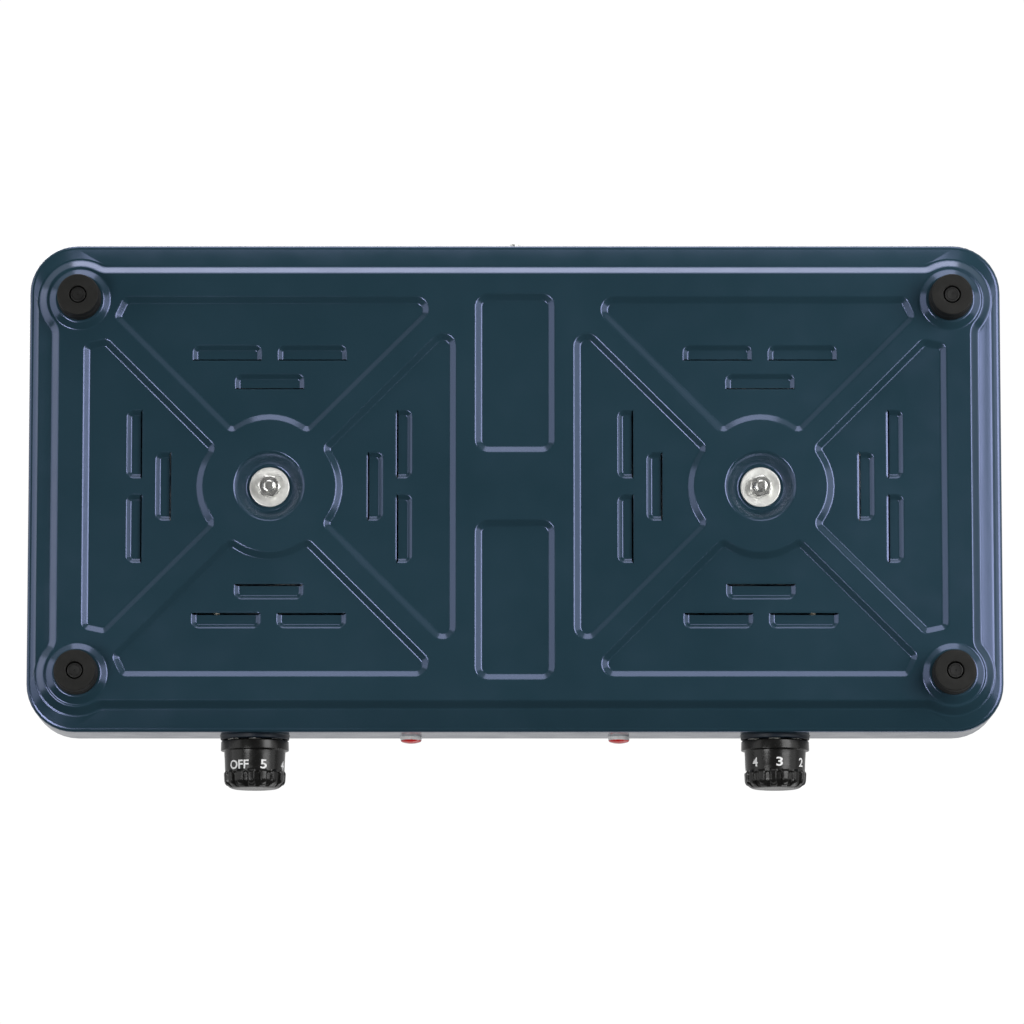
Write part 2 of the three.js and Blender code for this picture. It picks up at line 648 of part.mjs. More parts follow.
// Three-pole block on the rear wall with its screw, and the earth screw beside the gland.
const WALL_INSIDE_Y = REAR_Y - HOUSING_SHEET - GAP;
const BLOCK_DEPTH = 14;
const BLOCK_FRONT_Y = WALL_INSIDE_Y - BLOCK_DEPTH;
const EARTH_LENGTH = 12;
const block = box(34, BLOCK_DEPTH, 13, GLAND_X, WALL_INSIDE_Y - BLOCK_DEPTH / 2, BLOCK_Z);
const blockHole = rodAlongY(SCREW_HOLE, REAR_Y - 11, REAR_Y, GLAND_X, BLOCK_Z);
addPart('terminal_block', solid(block).subtract(solid(blockHole)), lampPlastic);
addPart('terminal_screw', panScrew(GLAND_X, BLOCK_Z, REAR_Y, 1, 10), zincSteel);
addPart('earth_screw', panScrew(EARTH_X, GLAND_Z, REAR_Y, 1, EARTH_LENGTH), brass);

// ---- Inner wiring ----
// Sleeved wires from the block to the thermostats and hotplates, clear of the pan and reflectors.
const WIRE_RADIUS = 1.3;
const WIRE_GAP = 0.6; // room for a wire end that isn't quite square to its terminal
const TAG_Z = CONTROL_Z - 12 - WIRE_GAP;
const PIN_Z = PIN_LOW_Z - WIRE_GAP;

function wire(points) {
  const route = new THREE.CatmullRomCurve3(points.map((point) => new THREE.Vector3(...point)));
  const section = new THREE.Shape();
  for (let i = 0; i < 6; i += 1) {
    const angle = i * Math.PI / 3;
    const point = [WIRE_RADIUS * Math.cos(angle), WIRE_RADIUS * Math.sin(angle)];
    if (i === 0) section.moveTo(...point);
    else section.lineTo(...point);
  }
  section.closePath();
  return new THREE.ExtrudeGeometry(section, { steps: 14, extrudePath: route, bevelEnabled: false });
}

for (const { side, sign } of SIDES) {
  const start = BLOCK_FRONT_Y - WIRE_GAP;
  const nearPin = PLATE_X - PIN_SPREAD;
  const farPin = PLATE_X + PIN_SPREAD;
  const supply = [
    [6, start, 32], [6.5, 97, 32], [30, 50, 30], [60, -50, 28], [110, -98, 25], [120, -110, 25.5],
    [122, -111, 28], [122, -111, TAG_Z],
  ];
  const neutral = [
    [12, start, 32], [14, 98, 32], [60, 75, 31], [105, 46, 31], [nearPin - 1, TERMINAL_Y, 37],
    [nearPin, TERMINAL_Y, PIN_Z],
  ];
  const lead = [
    [138, -111, TAG_Z], [138, -111, 28], [141, -106, 25], [150, -40, 26], [142, 18, 28],
    [farPin + 1, TERMINAL_Y, 36], [farPin, TERMINAL_Y, PIN_Z],
  ];
  const toSide = (points) => points.map(([x, y, z]) => [sign * x, y, z]);
  addPart(`supply_wire_${side}`, wire(toSide(supply)), wireSleeve);
  addPart(`neutral_wire_${side}`, wire(toSide(neutral)), wireSleeve);
  addPart(`plate_lead_${side}`, wire(toSide(lead)), wireSleeve);
}
const earthRoute = [
  [0, BLOCK_FRONT_Y - WIRE_GAP, 32], [0, 98, 34], [10, 90, 41], [33, 96, GLAND_Z],
  [EARTH_X, REAR_Y - EARTH_LENGTH - WIRE_GAP, GLAND_Z],
];
addPart('earth_wire', wire(earthRoute), wireSleeve);

// The origin is under the middle of the whole object, knobs and gland counted.
const FRONT_REACH = KNOB_LENGTH + FRONT_Y - KNOB_BACK_Y;
stove.position.y = (FRONT_REACH - GLAND_REACH) / 2;

export default stove;
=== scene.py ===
import math

import bpy
from mathutils import Matrix, Vector, geometry


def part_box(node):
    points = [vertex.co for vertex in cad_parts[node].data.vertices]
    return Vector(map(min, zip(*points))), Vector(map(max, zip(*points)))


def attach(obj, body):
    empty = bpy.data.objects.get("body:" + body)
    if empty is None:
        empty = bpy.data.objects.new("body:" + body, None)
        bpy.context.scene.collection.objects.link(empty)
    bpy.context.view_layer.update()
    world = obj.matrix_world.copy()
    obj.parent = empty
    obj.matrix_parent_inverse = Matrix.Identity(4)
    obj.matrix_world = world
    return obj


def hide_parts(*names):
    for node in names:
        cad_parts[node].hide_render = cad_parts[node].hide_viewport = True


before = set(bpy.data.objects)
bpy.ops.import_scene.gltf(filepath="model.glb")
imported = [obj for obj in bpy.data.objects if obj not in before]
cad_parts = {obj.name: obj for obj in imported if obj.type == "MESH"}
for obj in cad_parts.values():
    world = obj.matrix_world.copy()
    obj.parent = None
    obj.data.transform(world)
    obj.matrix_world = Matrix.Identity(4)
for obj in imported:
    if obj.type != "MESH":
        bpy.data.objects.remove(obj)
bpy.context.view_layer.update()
bpy.ops.object.select_all(action="DESELECT")

# ---------------------------------------------------------------- camera
# A long lens under the cooker, a little to the front, that looks up at the stamped bottom pan
# with the rear edge of the cooker at the top of the frame.
VIEW_TILT = math.radians(7.5)
VIEW_DISTANCE = 3.102
VIEW_TARGET = Vector((0.0015, -0.0008, 0.0200))
LENS, SENSOR = 218.8, 36

view_axis = Vector((0, math.sin(VIEW_TILT), math.cos(VIEW_TILT)))
view_up = Vector((0, math.cos(VIEW_TILT), -math.sin(VIEW_TILT)))
view_right = view_axis.cross(view_up)
camera_turn = Matrix((view_right, view_up, -view_axis)).transposed().to_4x4()
bpy.ops.object.camera_add()
camera = bpy.context.object
camera.data.lens = LENS
camera.data.sensor_width = SENSOR
camera.data.clip_end = 50
camera.matrix_world = Matrix.Translation(VIEW_TARGET - VIEW_DISTANCE * view_axis) @ camera_turn
bpy.context.scene.camera = camera

# ---------------------------------------------------------------- studio
# A white room that is dark under the cooker, and eight soft lights: two behind and four at the
# sides, mostly low, for the pressed steps of the underside, and two above for the plates and deck.
ROOM_ABOVE, ROOM_BELOW = 0.7, 0.05
ROOM_FADE = (-0.25, 0.22)  # where the dark turns to white, as a cosine to the bright way
BACKDROP = 1.02
ROOM_BRIGHT_WAY = (0, 0.34, 0.94)
SOFTBOXES = (
    # name, degrees round from +X, degrees up from straight below, distance, width, height, watts
    ("rear_low", 90, 74, 2.2, 1.5, 1.5, 15),
    ("rear_level", 90, 98, 2.2, 1.5, 0.5, 10),
    ("side_low", 170, 42, 1.3, 0.85, 0.62, 12),
    ("side_mid", 176, 70, 1.6, 1.1, 0.8, 4),
    ("far_side", 4, 74, 2.0, 1.7, 1.7, 13),
    ("far_side_low", -30, 34, 1.3, 0.42, 0.34, 5.6),
    ("key_above", 75, 152, 2.2, 1.5, 1.1, 28),
    ("front_above", -115, 118, 2.4, 1.6, 0.7, 9),
)

LIT_POINT = Vector((0, 0, 0.03))

scene = bpy.context.scene
scene.view_settings.view_transform = "Standard"
world = bpy.data.worlds.new("studio_room")
scene.world = world
world.use_nodes = True
room = world.node_tree
room.nodes.clear()
direction = room.nodes.new("ShaderNodeTexCoord")
height = room.nodes.new("ShaderNodeVectorMath")
height.operation = "DOT_PRODUCT"
height.inputs[1].default_value = ROOM_BRIGHT_WAY
room.links.new(direction.outputs["Generated"], height.inputs[0])
room_level = room.nodes.new("ShaderNodeMapRange")
room_level.interpolation_type = "SMOOTHSTEP"
room_level.inputs["From Min"].default_value = ROOM_FADE[0]
room_level.inputs["From Max"].default_value = ROOM_FADE[1]
room_level.inputs["To Min"].default_value = ROOM_BELOW
room_level.inputs["To Max"].default_value = ROOM_ABOVE
room.links.new(height.outputs["Value"], room_level.inputs["Value"])
unlit = room.nodes.new("ShaderNodeBackground")
unlit.inputs["Color"].default_value = (1, 1, 1, 1)
room.links.new(room_level.outputs["Result"], unlit.inputs["Strength"])
backdrop = room.nodes.new("ShaderNodeBackground")
backdrop.inputs["Color"].default_value = (1, 1, 1, 1)
backdrop.inputs["Strength"].default_value = BACKDROP
ray = room.nodes.new("ShaderNodeLightPath")
choose = room.nodes.new("ShaderNodeMixShader")
room.links.new(ray.outputs["Is Camera Ray"], choose.inputs["Fac"])
room.links.new(unlit.outputs[0], choose.inputs[1])
room.links.new(backdrop.outputs[0], choose.inputs[2])
room_out = room.nodes.new("ShaderNodeOutputWorld")
room.links.new(choose.outputs[0], room_out.inputs["Surface"])

for name, azimuth, polar, distance, width, tall, watts in SOFTBOXES:
    around, out = math.radians(azimuth), math.radians(polar)
    toward = Vector((math.sin(out) * math.cos(around), math.sin(out) * math.sin(around), -math.cos(out)))
    bpy.ops.object.light_add(type="AREA", location=toward * distance + LIT_POINT)
    light = bpy.context.object
    light.name = name
    light.rotation_euler = toward.to_track_quat("Z", "Y").to_euler()
    light.data.shape = "RECTANGLE"
    light.data.size = width
    light.data.size_y = tall
    light.data.energy = watts
    light.visible_camera = False

# The floor is pale and plain. It shows from above only, and keeps no light from the lights below.
bpy.ops.mesh.primitive_circle_add(vertices=96, radius=7, fill_type="NGON")
floor = bpy.context.object
floor.name = "floor"
floor.visible_glossy = False
floor.visible_diffuse = False
floor.visible_shadow = False
floor_paint = bpy.data.materials.new("floor_paint")
floor_paint.use_nodes = True
tree = floor_paint.node_tree
tree.nodes.clear()
matt = tree.nodes.new("ShaderNodeBsdfDiffuse")
matt.inputs["Color"].default_value = (0.86, 0.86, 0.86, 1)
clear = tree.nodes.new("ShaderNodeBsdfTransparent")
face_side = tree.nodes.new("ShaderNodeNewGeometry")
mix = tree.nodes.new("ShaderNodeMixShader")
tree.links.new(face_side.outputs["Backfacing"], mix.inputs["Fac"])
tree.links.new(matt.outputs[0], mix.inputs[1])
tree.links.new(clear.outputs[0], mix.inputs[2])
out = tree.nodes.new("ShaderNodeOutputMaterial")
tree.links.new(mix.outputs[0], out.inputs["Surface"])
floor.data.materials.append(floor_paint)

# ---------------------------------------------------------------- bottom pan
# Stamped from 0.8 mm steel sheet and enamelled slate blue: a raised frame with four foot bosses,
# eight sunk panels with pressed louvres, two middle pockets and two dishes for the plate fixings.
MM = 0.001
ARC_STEP = math.radians(9)
PAN_SHEET = 0.8
EDGE_R = 1.8
pan_low, pan_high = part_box("bottom_pan")
PAN_X = (pan_high[0] - pan_low[0]) / 2 / MM
PAN_Y = (pan_high[1] - pan_low[1]) / 2 / MM
PAN_CENTRE_Y = (pan_high[1] + pan_low[1]) / 2 / MM
BODY_CORNER = 24
RIM_Z, RIM_EDGE_Z, RIB_Z, PANEL_Z, BOSS_Z, DISH_Z = 20, 22.8, 16.5, 18.7, 14, 22.6
SKIRT_LOW_Z, SKIRT_TOP_Z = 25, pan_high[2] / MM
FRAME_INSET, FRAME_SWELL, FRAME_BLEND, FRAME_STEP = 13.3, 18.6, 8, 4.6
FOOT_X, FOOT_Y = 217.5, 94
BOSS_R, BOSS_STEP, PIN_LEDGE = 13.6, 4.2, 4.0
POCKET_X, POCKET_Y, POCKET_CORNER, POCKET_OUT = 18.25, 38.5, 5, 57
PANEL_STEP = 4.1
PLATE_X = 122.5
CREASE = math.radians(38)


def rounded(corners):
    """Outline of straight lines and tangent arcs through corners of (x, y, radius), as (x, y, nx, ny)."""
    points = []
    for i, (x, y, radius) in enumerate(corners):
        before = (Vector((x, y)) - Vector(corners[i - 1][:2])).normalized()
        after = (Vector(corners[(i + 1) % len(corners)][:2]) - Vector((x, y))).normalized()
        turn = math.atan2(before.cross(after), before.dot(after))
        hand = 1 if turn > 0 else -1
        normal = Vector((before.y, -before.x))
        centre = Vector((x, y)) - before * radius * math.tan(abs(turn) / 2) - normal * radius * hand
        steps = max(2, math.ceil(abs(turn) / ARC_STEP))
        for k in range(steps + 1):
            n = Matrix.Rotation(turn * k / steps, 2) @ normal
            p = centre + n * radius * hand
            points.append((p.x, p.y, n.x, n.y))
    return points


def ring(x, y, radius, steps=72):
    """Outline of a circle, as (x, y, nx, ny)."""
    turns = [2 * math.pi * k / steps for k in range(steps)]
    return [(x + radius * math.cos(a), y + radius * math.sin(a), math.cos(a), math.sin(a)) for a in turns]


def smooth(t):
    t = min(1, max(0, t))
    return t * t * (3 - 2 * t)


def ramp(t, bend=0.2):
    """An even slope from 0 to 1 with a rounded bend at each end."""
    t = min(1, max(0, t))
    if t < bend:
        return t * t / (2 * bend * (1 - bend))
    if t > 1 - bend:
        return 1 - (1 - t) ** 2 / (2 * bend * (1 - bend))
    return (t - bend / 2) / (1 - bend)


def pressed(width, z_out, z_in, rows=11, guard=0.25):
    """Offsets and heights across a pressed step, from outside inwards, with a level row at each end."""
    levels = [(width / 2 + guard, z_out)]
    for k in range(rows + 1):
        levels.append((width / 2 - width * k / rows, z_out + (z_in - z_out) * ramp(k / rows)))
    return levels + [(-width / 2 - guard, z_in)]


class Pressing:
    """A sheet-metal surface that grows from strips along outlines and from flats between them."""

    def __init__(self):
        self.points, self.faces = [], []

    def row(self, places):
        """Adds a row of points, and returns their indices."""
        self.points += places
        return list(range(len(self.points) - len(places), len(self.points)))

    def strip(self, outline, levels):
        """Adds a closed strip of rows along the outline, and returns its first and last rows."""
        first = last = None
        for offset, z in levels:
            here = self.row([(x + nx * offset, y + ny * offset, z) for x, y, nx, ny in outline])
            if last:
                self.join(last, here)
            first, last = first or here, here
        return first, last

    def join(self, one, other, closed=True):
        """Faces between two rows of the same length."""
        for k in range(len(one) if closed else len(one) - 1):
            n = (k + 1) % len(one)
            self.faces.append((one[k], one[n], other[n], other[k]))

    def flat(self, *rows):
        """Fills the level ground inside the first row and outside the others with triangles."""
        indices = [index for row in rows for index in row]
        places = [Vector(self.points[index][:2]) for index in indices]
        edges, start = [], 0
        for row in rows:
            edges += [(start + k, start + (k + 1) % len(row)) for k in range(len(row))]
            start += len(row)
        made = geometry.delaunay_2d_cdt(places, edges, [], 1, 1e-4)
        for face in made[2]:
            x, y = sum((made[0][k] for k in face), Vector((0, 0))) / len(face)
            crossings = 0
            for one, other in edges:
                (ax, ay), (bx, by) = places[one], places[other]
                crossings += (ay > y) != (by > y) and x < ax + (y - ay) * (bx - ax) / (by - ay)
            if crossings % 2:
                self.faces.append([indices[made[3][k][0]] for k in face])

    def finish(self, name, shift, thickness, down):
        """Makes the mesh, turns its faces down or up, and gives the sheet its thickness on the other side."""
        mesh = bpy.data.meshes.new(name)
        mesh.from_pydata([((x + shift[0]) * MM, (y + shift[1]) * MM, z * MM) for x, y, z in self.points],
                         [], self.faces)
        piece = bpy.data.objects.new(name, mesh)
        bpy.context.collection.objects.link(piece)
        bpy.ops.object.select_all(action="DESELECT")
        bpy.context.view_layer.objects.active = piece
        piece.select_set(True)
        bpy.ops.object.mode_set(mode="EDIT")
        bpy.ops.mesh.select_all(action="SELECT")
        bpy.ops.mesh.remove_doubles(threshold=0.00001)
        bpy.ops.mesh.normals_make_consistent(inside=False)
        bpy.ops.object.mode_set(mode="OBJECT")
        widest = max(mesh.polygons, key=lambda face: face.area * abs(face.normal.z))
        if (widest.normal.z < 0) != down:
            mesh.flip_normals()
        wall = piece.modifiers.new("sheet", "SOLIDIFY")
        wall.thickness = thickness * MM
        wall.offset = -1
        bpy.ops.object.modifier_apply(modifier=wall.name)
        bpy.ops.object.shade_smooth_by_angle(angle=CREASE)
        return piece


def box_outline(half_x, half_y, radius):
    """Outline of a rectangle with round corners."""
    return rounded([(half_x, -half_y, radius), (half_x, half_y, radius),
                    (-half_x, half_y, radius), (-half_x, -half_y, radius)])


def frame_outline(half_x, half_y, foot_x, foot_y, boss, blend):
    """The raised frame: a rectangle whose corners swell round the foot bosses, with blended joins."""
    high = Vector((foot_x - math.sqrt((boss + blend) ** 2 - (half_y + blend - foot_y) ** 2), half_y + blend))
    wide = Vector((half_x + blend, foot_y - math.sqrt((boss + blend) ** 2 - (half_x + blend - foot_x) ** 2)))
    foot = Vector((foot_x, foot_y))
    quarter = []

    def arc(centre, radius, start, end, hand):
        steps = max(3, math.ceil(abs(end - start) / ARC_STEP))
        for k in range(steps + 1):
            a = start + (end - start) * k / steps
            n = Vector((math.cos(a), math.sin(a)))
            p = centre + n * radius
            quarter.append((p.x, p.y, n.x * hand, n.y * hand))

    low_angle = math.atan2(*reversed(wide - foot))
    high_angle = math.atan2(*reversed(high - foot))
    arc(wide, blend, math.pi, low_angle + math.pi, -1)
    arc(foot, boss, low_angle, high_angle, 1)
    arc(high, blend, high_angle + math.pi, 1.5 * math.pi, -1)
    outline = list(quarter)
    outline += [(-x, y, -nx, ny) for x, y, nx, ny in reversed(quarter)]
    outline += [(-x, -y, -nx, -ny) for x, y, nx, ny in quarter]
    outline += [(x, -y, nx, -ny) for x, y, nx, ny in reversed(quarter)]
    return outline


pan = Pressing()
rim_edge = [(-EDGE_R - 0.3, RIM_EDGE_Z - 0.08)]
rim_edge += [(EDGE_R * (math.sin(a) - 1), RIM_EDGE_Z + EDGE_R * (1 - math.cos(a)))
             for a in [math.radians(10 * k) for k in range(10)]]
rim_edge += [(0, SKIRT_LOW_Z), (0, SKIRT_TOP_Z)]
rim_in, _ = pan.strip(box_outline(PAN_X, PAN_Y, BODY_CORNER), rim_edge)
frame_shape = frame_outline(PAN_X - FRAME_INSET, PAN_Y - FRAME_INSET, FOOT_X, FOOT_Y,
                            FRAME_SWELL, FRAME_BLEND)
# The rim falls evenly to the frame, so a row with its slope comes before the frame's step.
rim_foot = [(FRAME_STEP / 2 + 0.55, RIM_Z + 0.08)]
frame_out, frame_in = pan.strip(frame_shape, rim_foot + pressed(FRAME_STEP, RIM_Z, RIB_Z))
pan.flat(rim_in, frame_out)
plateau = [frame_in]

# A boss under each foot, down to the ledge round the hole for the foot's pin.
for fx in (-FOOT_X, FOOT_X):
    for fy in (-FOOT_Y, FOOT_Y):
        boss = pressed(BOSS_STEP, RIB_Z, BOSS_Z) + [(-7, BOSS_Z), (PIN_LEDGE - BOSS_R, BOSS_Z)]
        boss_out, _ = pan.strip(ring(fx, fy, BOSS_R), boss)
        plateau.append(boss_out)

# Two shallow pockets between the plates.
for y in (-POCKET_OUT, POCKET_OUT):
    pocket = [(px, py + y, nx, ny) for px, py, nx, ny in box_outline(POCKET_X, POCKET_Y, POCKET_CORNER)]
    pocket_out, pocket_in = pan.strip(pocket, pressed(PANEL_STEP, RIB_Z, PANEL_Z))
    pan.flat(pocket_in)
    plateau.append(pocket_out)

RIB_GAP = 9.05  # a panel's slanted side is this far from the 45 degree line, along the plate's axis
# A panel's outer edge and, where a foot's corner is cut off it, where the cut starts and ends: first
# for the panels at the front and rear of a plate, then for those at its sides.
PANEL_EDGES = ((94, 72, 76.2), (91.5, 70.5, 72.6))
PANEL_TIP, TIP_ROUND, CUT_ROUND, PANEL_ROUND = 19, 3, 2.6, 5
CREST_OUT, CREST_ROUND = 40.2, 28.6  # the hollow side towards the dish
DISH_R, DISH_SLOPE, DISH_FLOOR, STUD_HOLE = 17.9, 6.6, 11.0, 3.6
LOUVRE_HALF, LOUVRE_TALL, LOUVRE_DEEP, LOUVRE_RAMP, LOUVRE_SLIT = 17.5, 8, 2.0, 2.9, 0.8
LOUVRE_ROUND, HINGE, LIP = 4, 2.2, 2.4
LOUVRE_PLACES = ((-21.25, 67.5), (21.25, 67.5), (0, 53))


def louvre(place, across, out):
    """One pressed louvre: a tab pushed into the body, cut free along the edge nearest the plate's centre."""
    top, low = out + LOUVRE_TALL / 2, out - LOUVRE_TALL / 2
    left, right = across - LOUVRE_HALF, across + LOUVRE_HALF
    tab = rounded([(right, low - 9, 0.1), (right, top, LOUVRE_ROUND),
                   (left, top, LOUVRE_ROUND), (left, low - 9, 0.1)])
    outline = [(right, low, 1, 0), (right, low + HINGE, 1, 0)] + [p for p in tab if p[1] > low]
    outline += [(left, low + HINGE, -1, 0), (left, low, -1, 0)]
    rows = []
    for k in range(-1, 10):
        inset = LOUVRE_RAMP * k / 8
        z = PANEL_Z + LOUVRE_DEEP * ramp(k / 8)
        edge = [(x - nx * inset, y - ny * inset) for x, y, nx, ny in outline]
        cut = low + LOUVRE_SLIT * min(1, max(0, k) / 3)
        edge[0], edge[-1] = (edge[0][0], cut), (edge[-1][0], cut)
        rows.append(pan.row([place(x, y) + (z,) for x, y in edge]))
        if len(rows) > 1:
            pan.join(rows[-2], rows[-1], closed=False)
    pan.flat(rows[-1])
    lips = []
    spans = [k / 6 for k in range(7)]
    along = [left + LIP * s for s in spans] + [right - LIP * s for s in reversed(spans)]
    for drop, lift in ((0, 0.26), (0.3, 0.16), (0.65, 0.06), (1.0, 0.01), (1.25, 0), (1.5, 0)):
        heights = [PANEL_Z + lift * smooth(min(x - left, right - x) / LIP) for x in along]
        lips.append(pan.row([place(x, low - drop) + (z,) for x, z in zip(along, heights)]))
        if len(lips) > 1:
            pan.join(lips[-2], lips[-1], closed=False)
    left_side = [row[0] for row in lips]
    right_side = [row[-1] for row in lips]
    return rows[0] + left_side + lips[-1][1:-1] + list(reversed(right_side))


for plate_x in (-PLATE_X, PLATE_X):
    inward = -1 if plate_x > 0 else 1
    dish = [(DISH_R + 0.25, RIB_Z)]
    for k in range(12):
        t = k / 11
        rise = smooth(t) * 0.55 + t * 0.45
        dish.append((DISH_R - DISH_SLOPE * t, RIB_Z + (DISH_Z - RIB_Z) * rise))
    dish += [(DISH_FLOOR, DISH_Z), (STUD_HOLE, DISH_Z)]
    dish_out, _ = pan.strip(ring(plate_x, 0, 0, 96), dish)
    plateau.append(dish_out)
    for quarter in range(4):
        turn = Matrix.Rotation(math.radians(90 * quarter), 2)
        reach, cut_start, cut_end = PANEL_EDGES[quarter % 2]
        ends = []
        for hand in (1, -1):
            near_foot = (turn @ Vector((hand, 1))).x * inward < 0
            if near_foot:
                ends.append([(cut_start, reach, CUT_ROUND), (cut_end, cut_end + RIB_GAP, CUT_ROUND)])
            else:
                ends.append([(reach - RIB_GAP, reach, PANEL_ROUND)])
        tip = (PANEL_TIP, PANEL_TIP + RIB_GAP, TIP_ROUND)
        corners = [tip] + list(reversed(ends[0])) + [(-x, y, r) for x, y, r in ends[1] + [tip]]
        corners.append((0, CREST_OUT, CREST_ROUND))

        def place(x, y, turn=turn, plate_x=plate_x):
            p = turn @ Vector((x, y))
            return (p.x + plate_x, p.y)

        outline = []
        for x, y, nx, ny in rounded(corners):
            n = turn @ Vector((nx, ny))
            outline.append(place(x, y) + (n.x, n.y))
        panel_out, panel_in = pan.strip(outline, pressed(PANEL_STEP, RIB_Z, PANEL_Z))
        plateau.append(panel_out)
        holes = [louvre(place, across, away) for across, away in LOUVRE_PLACES]
        pan.flat(panel_in, *holes)
pan.flat(*plateau)
bottom_pan = pan.finish("stamped_pan", (0, PAN_CENTRE_Y), PAN_SHEET, down=True)


NOISE_LOW, NOISE_HIGH = 0.3, 0.7
SOCKETS = {"metallic": "Metallic", "specular": "Specular IOR Level", "tint": "Specular Tint", "ior": "IOR",
           "clear": "Transmission Weight"}


def noise(tree, scale, detail=3):
    """Noise over the object's own coordinates; scale is in waves per metre."""
    place = tree.nodes.new("ShaderNodeTexCoord")
    cloud = tree.nodes.new("ShaderNodeTexNoise")
    cloud.inputs["Scale"].default_value = scale
    cloud.inputs["Detail"].default_value = detail
    tree.links.new(place.outputs["Object"], cloud.inputs["Vector"])
    return cloud.outputs["Fac"]


def shades(tree, value, dark, light):
    """Runs a noise value between two colours."""
    blend = tree.nodes.new("ShaderNodeValToRGB")
    for stop, (position, colour) in zip(blend.color_ramp.elements, ((NOISE_LOW, dark), (NOISE_HIGH, light))):
        stop.position = position
        stop.color = (*colour, 1)
    tree.links.new(value, blend.inputs["Fac"])
    return blend.outputs["Color"]


def spread(tree, value, low, high):
    """Maps a noise value onto a range."""
    node = tree.nodes.new("ShaderNodeMapRange")
    for key, number in (("From Min", NOISE_LOW), ("From Max", NOISE_HIGH), ("To Min", low), ("To Max", high)):
        node.inputs[key].default_value = number
    tree.links.new(value, node.inputs["Value"])
    return node.outputs["Result"]


def bump(tree, shader, value, height_mm, below=None):
    """Adds a bump of the given height to the shader, on top of another bump when one is given."""
    node = tree.nodes.new("ShaderNodeBump")
    node.inputs["Strength"].default_value = 1
    node.inputs["Distance"].default_value = height_mm * MM
    tree.links.new(value, node.inputs["Height"])
    if below:
        tree.links.new(below, node.inputs["Normal"])
    tree.links.new(node.outputs[0], shader.inputs["Normal"])
    return node.outputs[0]


def surface(name, colours, patches, rough, wear, grain=None, **sockets):
    """A finish whose colour and roughness vary, with a fine grain; the sockets are the shader's own.

    patches and wear are noises as (waves per metre, detail), and grain has its height in mm as well.
    """
    material = bpy.data.materials.new(name)
    material.use_nodes = True
    tree = material.node_tree
    shader = tree.nodes["Principled BSDF"]
    tree.links.new(shades(tree, noise(tree, *patches), *colours), shader.inputs["Base Color"])
    tree.links.new(spread(tree, noise(tree, *wear), *rough), shader.inputs["Roughness"])
    for socket, number in sockets.items():
        shader.inputs[SOCKETS[socket]].default_value = number
    if grain:
        waves, detail, tall = grain
        bump(tree, shader, noise(tree, waves, detail), tall)
    return material


# Baked enamel: slate blue, with the slight orange peel and the long waves of pressed sheet.
enamel = surface("slate_enamel", ((0.0132, 0.0378, 0.0520), (0.0164, 0.0440, 0.0606)), (14, 3),
                 (0.17, 0.24), (60, 3), ior=1.5, specular=1.0, tint=(0.52, 0.58, 1.0, 1))
tree = enamel.node_tree
shader = tree.nodes["Principled BSDF"]
waves = bump(tree, shader, noise(tree, 16, 1), 0.14)
bump(tree, shader, noise(tree, 420, 1), 0.003, waves)
bottom_pan.data.materials.append(enamel)
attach(bottom_pan, "root")
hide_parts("bottom_pan")

# ---------------------------------------------------------------- rubber feet
# Four moulded rubber feet under the bosses, each held by a black push pin whose round head sits
# in the foot's open middle.
FOOT_BORE, FOOT_FACE, FOOT_SEAM, FOOT_WAIST, FOOT_TOP = 4.3, 10.25, 10.75, 10.9, 13.95
PIN_HEAD, PIN_STEM = 3.75, 3.2
FOOT_SIDES, PIN_SIDES = 72, 48


def turned(name, profile, steps):
    """Spins a half profile of (radius, height) in millimetres round the Z axis into a closed piece."""
    bpy.ops.object.select_all(action="DESELECT")
    bpy.ops.mesh.primitive_plane_add(size=0.001)
    piece = bpy.context.object
    piece.name = piece.data.name = name
    bpy.ops.object.mode_set(mode="EDIT")
    bpy.ops.mesh.merge(type="CENTER")
    bpy.ops.transform.translate(value=(profile[0][0] * MM, 0, profile[0][1] * MM))
    for (r0, z0), (r1, z1) in zip(profile, profile[1:]):
        bpy.ops.mesh.extrude_region_move(
            TRANSFORM_OT_translate={"value": ((r1 - r0) * MM, 0, (z1 - z0) * MM)})
    bpy.ops.mesh.select_all(action="SELECT")
    bpy.ops.mesh.spin(steps=steps, angle=math.tau, center=(0, 0, 0), axis=(0, 0, 1), use_auto_merge=True)
    bpy.ops.mesh.select_all(action="SELECT")
    bpy.ops.mesh.remove_doubles(threshold=0.000004)
    bpy.ops.mesh.normals_make_consistent(inside=False)
    bpy.ops.object.mode_set(mode="OBJECT")
    return piece


def rounding(r, z, radius, start, end, steps=5):
    """Profile points round a small edge: centre (r, z), angles in degrees from the outward direction."""
    turns = [math.radians(start + (end - start) * k / steps) for k in range(steps + 1)]
    return [(r + radius * math.cos(a), z + radius * math.sin(a)) for a in turns]


def place_copy(piece, name, x, y, z=0):
    """A copy of a piece with its own mesh, moved to its place in millimetres."""
    copy = piece.copy()
    copy.data = piece.data.copy()
    copy.name = copy.data.name = name
    copy.data.transform(Matrix.Translation((x * MM, y * MM, z * MM)))
    bpy.context.collection.objects.link(copy)
    return copy


def shade(piece, degrees=35):
    """Smooth shading, with creases above the given angle."""
    bpy.ops.object.select_all(action="DESELECT")
    bpy.context.view_layer.objects.active = piece
    piece.select_set(True)
    bpy.ops.object.shade_smooth_by_angle(angle=math.radians(degrees))


